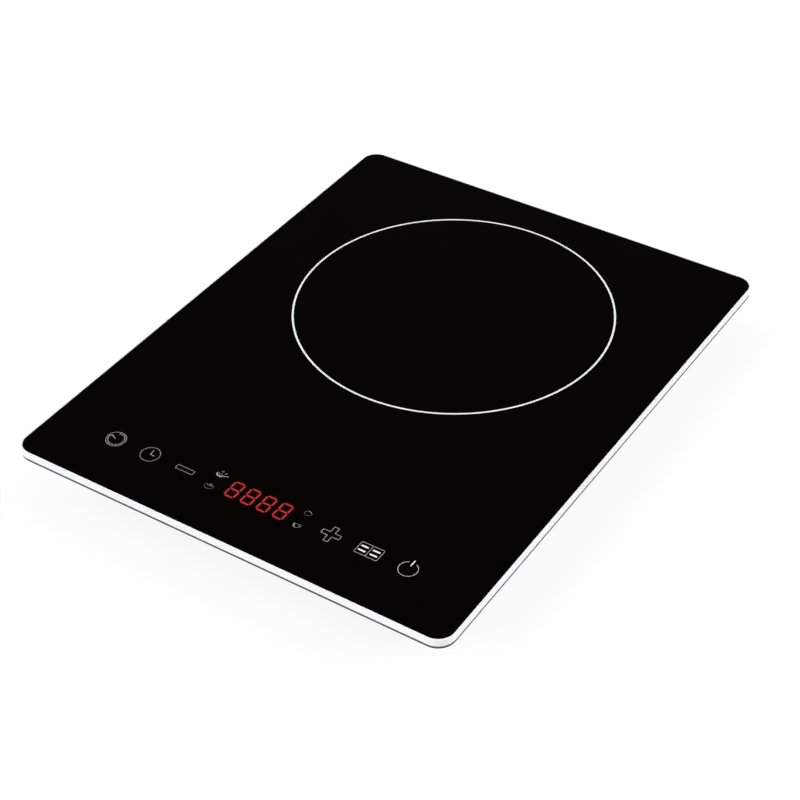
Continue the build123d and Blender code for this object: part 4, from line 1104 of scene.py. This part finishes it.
@dataclass
class ProgrammeSigns(GlassPrint):
    """Small printed signs of four cooking programmes, beside the figures.

    The points of a sign are in millimetres from the place of the sign.

    Attributes:
        wok_mm: Place of the wok sign.
        bowl_mm: Place of the bowl sign.
        pot_mm: Place of the pot sign.
        kettle_mm: Place of the kettle sign.
        fine_mm: Width of a thin line.
        broad_mm: Width of a broad line.
        wok_rim: Left edge and mouth of the wok.
        wok_side: Outer and inner edge of the wok's near side.
        wok_handle: Handle of the wok.
        wok_food: Three bits of food that are tossed over the wok.
        bowl_side: Round side of the bowl.
        bowl_rim: Filling of the bowl along its rim.
        bowl_food: Heap of food in the bowl.
        pot_side: Round outline of the pot, which ends at its first point.
        pot_lid: Broad edge of the pot's lid.
        kettle_back: Right side of the kettle.
        kettle_handle: Handle of the kettle.
        kettle_side: Outer and inner edge of the kettle's spout and near side.
    """

    wok_mm: Point = (-29.0, -141.4)
    bowl_mm: Point = (-29.7, -152.3)
    pot_mm: Point = (30.2, -141.7)
    kettle_mm: Point = (30.2, -152.6)
    fine_mm: float = 0.22
    broad_mm: float = 0.5
    wok_rim: Points = (
        (-4.0, -0.2), (-3.6, 0.3), (-3.0, 0.3), (-2.2, -0.2), (-1.0, -0.8), (0.2, -0.7), (1.2, -0.1),
    )
    wok_side: tuple[Points, Points] = (
        ((-4.0, -0.3), (-3.5, -1.4), (-2.4, -2.1), (-1.0, -2.3), (0.3, -2.0), (1.5, -0.9)),
        ((1.2, -0.9), (0.2, -1.4), (-1.0, -1.6), (-2.2, -1.4), (-3.0, -0.8), (-3.5, -0.2)),
    )
    wok_handle: Points = ((1.4, -0.8), (2.7, -0.1), (4.1, 0.2))
    wok_food: tuple[Points, ...] = (
        ((-1.3, 0.4), (-0.9, -0.1), (-0.1, 0.2), (-0.6, 0.9)),
        ((0.4, 1.3), (0.9, 0.8), (2.1, 1.7), (1.5, 2.3)),
        ((-2.4, 1.8), (-1.0, 1.7), (-0.6, 2.8), (-1.7, 2.7)),
    )
    bowl_side: Points = (
        (-3.5, -0.3), (-2.9, -1.5), (-1.7, -2.5), (-0.3, -2.9), (1.0, -2.6), (2.2, -1.8), (2.6, -0.4),
    )
    bowl_rim: Points = ((-3.0, 0.1), (-2.2, 0.2), (-1.3, -0.3), (-0.2, -0.4), (1.0, -0.1), (2.3, 0.3))
    bowl_food: Points = ((-1.2, 0.8), (-0.6, 0.3), (0.4, 0.4), (1.2, 0.5), (0.9, 1.3), (-0.1, 1.5))
    pot_side: Points = (
        (-2.3, -0.4), (-1.9, -1.4), (-0.9, -1.8), (0.3, -1.8), (1.4, -1.3), (2.1, -0.5),
        (2.1, 0.3), (1.0, 1.4), (-0.4, 1.8), (-1.7, 1.1), (-2.3, 0.4), (-2.3, -0.4),
    )
    pot_lid: Points = ((-0.7, 1.6), (0.6, 1.4), (1.7, 0.7))
    kettle_back: Points = ((0.5, -2.0), (1.4, -1.4), (1.3, -0.4), (0.6, 0.5), (-0.4, 0.8), (-1.8, 0.2))
    kettle_handle: Points = ((0.7, 0.5), (1.3, 1.1), (2.1, 0.7), (2.4, -0.3), (1.9, -0.8), (1.4, -0.7))
    kettle_side: tuple[Points, Points] = (
        ((-2.5, 0.8), (-2.3, -0.4), (-2.1, -1.2), (-1.6, -1.9), (-0.7, -2.2), (0.5, -2.1)),
        ((0.5, -1.9), (-0.5, -1.9), (-1.2, -1.5), (-1.5, -0.8), (-1.5, -0.2), (-2.0, 0.2)),
    )

    def build(self) -> None:
        """Build the four signs, each as thin lines, broad lines and fields."""
        wok, bowl, pot, kettle = self.wok_mm, self.bowl_mm, self.pot_mm, self.kettle_mm
        thin = [self.curve(self.wok_rim, wok), self.curve(self.bowl_rim, bowl)]
        thin += [self.curve(points, kettle) for points in (self.kettle_back, self.kettle_handle)]
        pot_round, _ = self.curve(self.pot_side, pot)
        sides = [self.curve(self.bowl_side, bowl), (pot_round[:-1], True)]
        broad = [Drawing.path(self.wok_handle, wok), self.curve(self.pot_lid, pot)]
        food = [Drawing.moved(bit, wok) for bit in self.wok_food]
        food.append(Drawing.moved(self.bowl_food, bowl))
        self.lines("sign_lines", thin, self.fine_mm, "faint_print")
        self.lines("sign_sides", sides, self.fine_mm, "dim_print")
        self.lines("sign_strokes", broad, self.broad_mm, "faint_print")
        self.fields("sign_fields", food, "dim_print")
        self.fields("wok_side", [self.crescent(*self.wok_side, wok)], "pale_print")
        self.fields("kettle_side", [self.crescent(*self.kettle_side, kettle)], "grey_print")

    def fields(self, name: str, outlines: Sequence[Outline], finish: str) -> None:
        """Print closed fields, from outlines in millimetres, counter-clockwise."""
        settle(add_piece(name, self.flat(outlines), finish))

    @staticmethod
    def curve(points: Points, place: Point) -> Line:
        """Smooth open line through points round a place."""
        return Drawing.path(Drawing.smooth(points), place)

    @staticmethod
    def crescent(outer: Points, inner: Points, place: Point) -> Outline:
        """Field between two smooth edges round a place."""
        return Drawing.moved([*Drawing.smooth(outer), *Drawing.smooth(inner)], place)


@dataclass
class DigitRow(GlassPrint):
    """Row of lit figures, each of seven bars with a painted glow round them.

    Attributes:
        centre_mm: Middle of the row.
        count: Number of figures.
        pitch_mm: Distance between figures.
        width_mm: Width of a figure.
        height_mm: Height of a figure.
        bar_mm: Width of a bar.
        gap_mm: Gap between bars.
        glow_mm: How far the near painted glow reaches beside a bar.
        haze_mm: How far the weak painted glow reaches beside a bar.
        glow_gap_mm: Gap between the glows of two bars.
    """

    centre_mm: Point = (0.7, -148.0)
    count: int = 4
    pitch_mm: float = 10.95
    width_mm: float = 7.25
    height_mm: float = 12.95
    bar_mm: float = 0.95
    gap_mm: float = 0.7
    glow_mm: float = 0.5
    haze_mm: float = 1.5
    glow_gap_mm: float = 0.05

    def build(self) -> None:
        """Build the bars of the figures, and a painted glow as two thinner lit layers round them."""
        # The haze and glow layers are painted glow: lit fields on the glass beside the bars, wider than
        # the bars themselves.
        haze = self.figure(self.bar_mm + 2 * self.haze_mm, self.glow_gap_mm)
        glow = self.figure(self.bar_mm + 2 * self.glow_mm, self.glow_gap_mm)
        self.row("figure_haze", haze, self.rise / 3, "lit_haze")
        self.row("figure_glow", glow, self.rise * 2 / 3, "lit_glow")
        self.row("lit_figures", self.figure(self.bar_mm, self.gap_mm), self.rise, "lit_red")

    @staticmethod
    def bar(centre: Point, length: float, thickness: float, upright: bool) -> Outline:
        """Outline of one bar with pointed ends.

        Args:
            centre: Middle of the bar.
            length: Length from point to point.
            thickness: Width of the bar.
            upright: True where the bar stands.

        Returns:
            The bar's corners, counter-clockwise.
        """
        half, side = length / 2, thickness / 2
        corners = [
            (-half, 0.0), (-half + side, -side), (half - side, -side),
            (half, 0.0), (half - side, side), (-half + side, side),
        ]
        if upright:
            corners = [(-y, x) for x, y in corners]
        return Drawing.moved(corners, centre)

    def figure(self, thickness: float, gap: float) -> list[Outline]:
        """Outlines of the first figure's seven bars.

        Args:
            thickness: Width of a bar.
            gap: Gap between bars.

        Returns:
            The corners of each bar.
        """
        reach_x = (self.width_mm - self.bar_mm) / 2
        reach_y = (self.height_mm - self.bar_mm) / 2
        first_x = self.centre_mm[0] - self.pitch_mm * (self.count - 1) / 2
        middle_y = self.centre_mm[1]
        bars = []
        for row in (-1, 0, 1):
            lying = (first_x, middle_y + row * reach_y)
            bars.append(self.bar(lying, 2 * reach_x - gap, thickness, False))
        for side in (-1, 1):
            for row in (-1, 1):
                standing = (first_x + side * reach_x, middle_y + row * reach_y / 2)
                bars.append(self.bar(standing, reach_y - gap, thickness, True))
        return bars

    def row(self, name: str, bars: Sequence[Outline], rise: float, finish: str) -> None:
        """Repeat the first figure along the row.

        Args:
            name: Name of the piece.
            bars: Outlines of the first figure's bars in millimetres.
            rise: Half the thickness of the layer.
            finish: Name of the finish.
        """
        figure = prism_mesh(bars, self.surface - rise, self.surface + rise)
        sizes = {"Count": self.count, "Step": (self.pitch_mm * MM, 0.0, 0.0)}
        settle(grow_piece(name, TREES.row, figure, sizes, finish))


@dataclass
class Housing:
    """Rim frame and lower housing with feet, screws, cord inlet and a bare plate.

    Attributes:
        SOLIDS: Solids of the housing, by finish.
        foot_mm: Radius and height along a foot's section.
        foot_steps: Number of steps round a foot.
        plate_size_mm: Width and depth of the plate.
        plate_corner_mm: Corner radius of the plate.
        plate_thickness_mm: Thickness of the plate.
        plate_lift_mm: Gap between the plate and the roof of its recess.
        recess_roof_mm: Height of the roof of the plate's recess.
    """

    SOLIDS: ClassVar[Solids] = {
        "white_rim": ("rim_frame",),
        "charcoal_plastic": ("lower_housing",),
        "zinc_steel": ("housing_screws",),
        "gland_plastic": ("cord_gland", "gland_nut"),
    }
    foot_mm: Points = (
        (0.0, 0.7), (4.4, 0.7), (5.0, 0.35), (5.5, 0.05), (5.9, 0.0), (7.3, 0.0), (7.9, 0.15),
        (8.4, 0.55), (8.7, 1.1), (8.8, 1.7), (8.8, 2.3), (8.55, 2.6), (8.55, 2.9), (8.8, 3.2),
        (8.9, 4.6), (8.95, 6.0), (0.0, 6.0),
    )
    foot_steps: int = 56
    plate_size_mm: Point = (54.0, 34.0)
    plate_corner_mm: float = 2.0
    plate_thickness_mm: float = 0.3
    plate_lift_mm: float = 0.05
    recess_roof_mm: float = 5.5

    def build(self) -> None:
        """Dress the solids and build the feet and the plate."""
        dress_solids(self.SOLIDS)
        self.feet()
        self.plate()

    def feet(self) -> None:
        """Turn one moulded foot and set it at the four corners."""
        low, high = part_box("rubber_feet")
        widest = 2 * max(radius for radius, _ in self.foot_mm) * MM
        sizes = {"Width": high.x - low.x - widest, "Depth": high.y - low.y - widest}
        foot = lathe_mesh(self.foot_mm, self.foot_steps)
        feet = grow_piece("moulded_feet", TREES.corners, foot, sizes, "black_rubber")
        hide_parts("rubber_feet")
        settle(feet)

    def plate(self) -> None:
        """Set a bare plate in the recess of the underside."""
        ring_low, ring_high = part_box("zone_ring")
        centre = (0.0, (ring_low.y + ring_high.y) / 2 / MM)
        corners = Drawing.box(centre, *self.plate_size_mm)
        outline, _ = Drawing.rounded(corners, self.plate_corner_mm)
        top_mm = self.recess_roof_mm - self.plate_lift_mm
        mesh = prism_mesh([outline], (top_mm - self.plate_thickness_mm) * MM, top_mm * MM)
        settle(add_piece("bare_plate", mesh, "plate_aluminium"))


class InnerWorks:
    """Coil, boards and fan, which show through the air slots.

    Attributes:
        COIL: Solids of the coil and its sensor, by finish.
        BOARDS: Solids of the two boards, by finish.
        FAN: Solids of the fan, by finish.
    """

    COIL: Solids = {
        "former_plastic": ("coil_former", "sensor_holder"),
        "copper_wire": ("coil_winding", "coil_leads"),
        "tinned_brass": ("coil_crimp",),
        "zinc_steel": ("coil_screws",),
        "ferrite": ("ferrite_bars",),
        "mica": ("mica_sheet",),
        "fibre_mat": ("insulation_mat",),
        "spring_steel": ("sensor_spring",),
        "white_silicone": ("pan_sensor",),
        "lead_red": ("sensor_lead",),
    }
    BOARDS: Solids = {
        "circuit_board": ("power_board", "control_board"),
        "zinc_steel": ("power_board_screws", "control_screws"),
        "sink_aluminium": ("heat_sink",),
        "package_black": ("power_transistor", "bridge_rectifier", "buzzer", "controller_chip"),
        "thermal_pad": ("thermal_pads",),
        "capacitor_yellow": ("resonance_capacitor", "filter_capacitor"),
        "capacitor_can": ("electrolytic_capacitors",),
        "ferrite": ("choke_core",),
        "copper_wire": ("choke_winding",),
        "transformer_tape": ("supply_transformer",),
        "fuse_glass": ("mains_fuse",),
        "tinned_brass": ("fuse_clips", "coil_terminals", "mains_tabs"),
        "socket_white": ("wire_sockets", "ribbon_sockets"),
        "ribbon_grey": ("ribbon_cable",),
        "display_body": ("display_module",),
        "lit_red": ("display_segments", "indicator_lamps"),
        "contact_foam": ("touch_pillars",),
    }
    FAN: Solids = {
        "fan_plastic": ("fan_frame", "fan_impeller"),
        "stator_steel": ("fan_stator",),
        "tinned_brass": ("fan_bushing",),
        "ferrite": ("fan_magnet",),
        "spring_steel": ("fan_shaft",),
        "zinc_steel": ("fan_screws",),
        "lead_red": ("fan_lead",),
    }

    def build(self) -> None:
        """Dress every inner solid."""
        for solids in (self.COIL, self.BOARDS, self.FAN):
            dress_solids(solids)


@dataclass(frozen=True)
class Lamp:
    """Wide soft lamp far away.

    Attributes:
        name: Name of the lamp.
        azimuth: Degrees round from the front, positive to the right.
        elevation: Degrees above the floor.
        width: Apparent width in degrees.
        strength: Strength of the light.
    """

    name: str
    azimuth: float
    elevation: float
    width: float
    strength: float

    def build(self) -> None:
        """Hang the lamp, which lights the pieces but has no image in the glass."""
        data = bpy.data.lights.new(self.name, "SUN")
        data.energy = self.strength
        data.angle = math.radians(self.width)
        around, up = math.radians(self.azimuth), math.radians(self.elevation)
        level = math.cos(up)
        towards = Vector((math.sin(around) * level, -math.cos(around) * level, math.sin(up)))
        lamp = bpy.data.objects.new(self.name, data)
        lamp.rotation_euler = towards.to_track_quat("Z", "Y").to_euler()
        lamp.visible_glossy = False
        bpy.context.scene.collection.objects.link(lamp)


@dataclass
class Studio:
    """Pale floor, soft lamps and a plain surround.

    Attributes:
        floor_half: Half the floor's width.
        floor_colour: Colour of the floor.
        floor_roughness: Roughness of the floor.
        shown_light: Even part of the floor as it is seen.
        shown_shade: Part of the floor as it is seen that takes light and shade.
        lamps: The lamps.
        dome: Level of the surround overhead.
        horizon: Level of the surround at the floor line.
        horizon_top: Sine of the elevation up to which the surround has its level at the floor line.
        dome_foot: Sine of the elevation from which the surround has its level overhead.
    """

    floor_half: float = 30.0
    floor_colour: Colour = (0.93, 0.93, 0.93)
    floor_roughness: float = 0.9
    shown_light: float = 0.86
    shown_shade: float = 0.18
    lamps: tuple[Lamp, ...] = (
        Lamp("front_lamp", -39.0, 40.0, 50.0, 2.36),
        Lamp("side_lamp", 123.0, 40.0, 50.0, 2.12),
        Lamp("top_lamp", 0.0, 88.0, 60.0, 0.3),
    )
    dome: float = 0.12
    horizon: float = 1.0
    horizon_top: float = 0.04
    dome_foot: float = 0.22

    def build(self) -> None:
        """Set up the floor, the lamps and the surround."""
        self.floor()
        for lamp in self.lamps:
            lamp.build()
        self.surround()

    def floor(self) -> None:
        """Lay the floor, which can be seen through from below."""
        half = self.floor_half
        mesh = bpy.data.meshes.new("floor")
        corners = [(-half, -half, 0), (half, -half, 0), (half, half, 0), (-half, half, 0)]
        mesh.from_pydata(corners, [], [(0, 1, 2, 3)])
        mesh.materials.append(self.floor_material())
        floor = bpy.data.objects.new("floor", mesh)
        bpy.context.scene.collection.objects.link(floor)

    def floor_material(self) -> Material:
        """Make the floor's material: pale, seen as white, clear from below.

        Returns:
            The new material.
        """
        material = bpy.data.materials.new("pale_floor")
        material.use_nodes = True
        sheet = NodeSheet(material.node_tree)
        shader = material.node_tree.nodes["Principled BSDF"]
        shader.inputs["Base Color"].default_value = (*self.floor_colour, 1.0)
        shader.inputs["Roughness"].default_value = self.floor_roughness
        shader.inputs["Specular IOR Level"].default_value = 0.0
        shade = (self.shown_shade, self.shown_shade, self.shown_shade, 1.0)
        matt = sheet.add("ShaderNodeBsdfDiffuse", {"Color": shade})
        even = sheet.add("ShaderNodeEmission", {"Strength": self.shown_light})
        shown = sheet.add("ShaderNodeAddShader", {0: matt.outputs[0], 1: even.outputs[0]})
        rays = sheet.add("ShaderNodeLightPath").outputs
        seen = rays["Is Camera Ray"]
        for kind in ("Is Glossy Ray", "Is Transmission Ray"):
            either = sheet.add("ShaderNodeMath", {0: seen, 1: rays[kind]}, operation="MAXIMUM")
            seen = either.outputs[0]
        above = sheet.add("ShaderNodeMixShader", {0: seen, 1: shader.outputs[0], 2: shown.outputs[0]})
        below = sheet.add("ShaderNodeNewGeometry").outputs["Backfacing"]
        clear = sheet.add("ShaderNodeBsdfTransparent")
        sides = sheet.add("ShaderNodeMixShader", {0: below, 1: above.outputs[0], 2: clear.outputs[0]})
        surface = material.node_tree.nodes["Material Output"].inputs["Surface"]
        sheet.tree.links.new(sides.outputs[0], surface)
        return material

    def surround(self) -> None:
        """Light the surround: pale at the floor line, dim overhead."""
        world = bpy.data.worlds.new("surround")
        world.use_nodes = True
        bpy.context.scene.world = world
        sheet = NodeSheet(world.node_tree)
        backdrop = world.node_tree.nodes["Background"]
        direction = sheet.add("ShaderNodeTexCoord").outputs["Generated"]
        parts = sheet.add("ShaderNodeSeparateXYZ", {"Vector": direction})
        heights = {"From Min": self.horizon_top, "From Max": self.dome_foot}
        levels = {"To Min": self.horizon, "To Max": self.dome}
        level = sheet.add(
            "ShaderNodeMapRange",
            {"Value": parts.outputs["Z"], **heights, **levels},
            interpolation_type="SMOOTHSTEP",
        )
        sheet.tree.links.new(level.outputs["Result"], backdrop.inputs["Strength"])
        backdrop.inputs["Color"].default_value = (1.0, 1.0, 1.0, 1.0)


@dataclass(frozen=True)
class ViewCamera:
    """Camera at the photograph's viewing angle.

    Attributes:
        place: Place of the lens.
        right: Direction of the picture's right.
        down: Direction of the picture's bottom.
        forward: Viewing direction.
        lens_mm: Focal length on a square sensor.
        sensor_mm: Width of the sensor.
        shift: Offset of the picture, as a share of its width.
    """

    place: tuple[float, float, float] = (0.50832, -0.77171, 0.77886)
    right: tuple[float, float, float] = (0.83899307, 0.5440325, -0.01092083)
    down: tuple[float, float, float] = (0.33926589, -0.5386877, -0.77117716)
    forward: tuple[float, float, float] = (-0.42542835, 0.64330723, -0.63652692)
    lens_mm: float = 87.96
    sensor_mm: float = 36.0
    shift: Point = (-0.000625, 0.000625)

    def build(self) -> None:
        """Place the camera and make it the scene's own."""
        data = bpy.data.cameras.new("view_camera")
        data.lens = self.lens_mm
        data.sensor_width = self.sensor_mm
        data.shift_x, data.shift_y = self.shift
        camera = bpy.data.objects.new("view_camera", data)
        columns = Matrix((Vector(self.right), -Vector(self.down), -Vector(self.forward)))
        camera.matrix_world = Matrix.Translation(self.place) @ columns.transposed().to_4x4()
        bpy.context.scene.collection.objects.link(camera)
        bpy.context.scene.camera = camera


def main() -> None:
    """Build the classes in order."""
    logging.basicConfig(level=logging.INFO, format="%(name)s: %(message)s")
    bpy.context.scene.view_settings.view_transform = "Standard"
    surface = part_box("glass_panel")[1].z
    ViewCamera().build()
    Studio().build()
    GlassTop().build()
    KeyPrints(surface).build()
    ProgrammeSigns(surface).build()
    DigitRow(surface).build()
    Housing().build()
    InnerWorks().build()


if __name__ == "__main__":
    main()
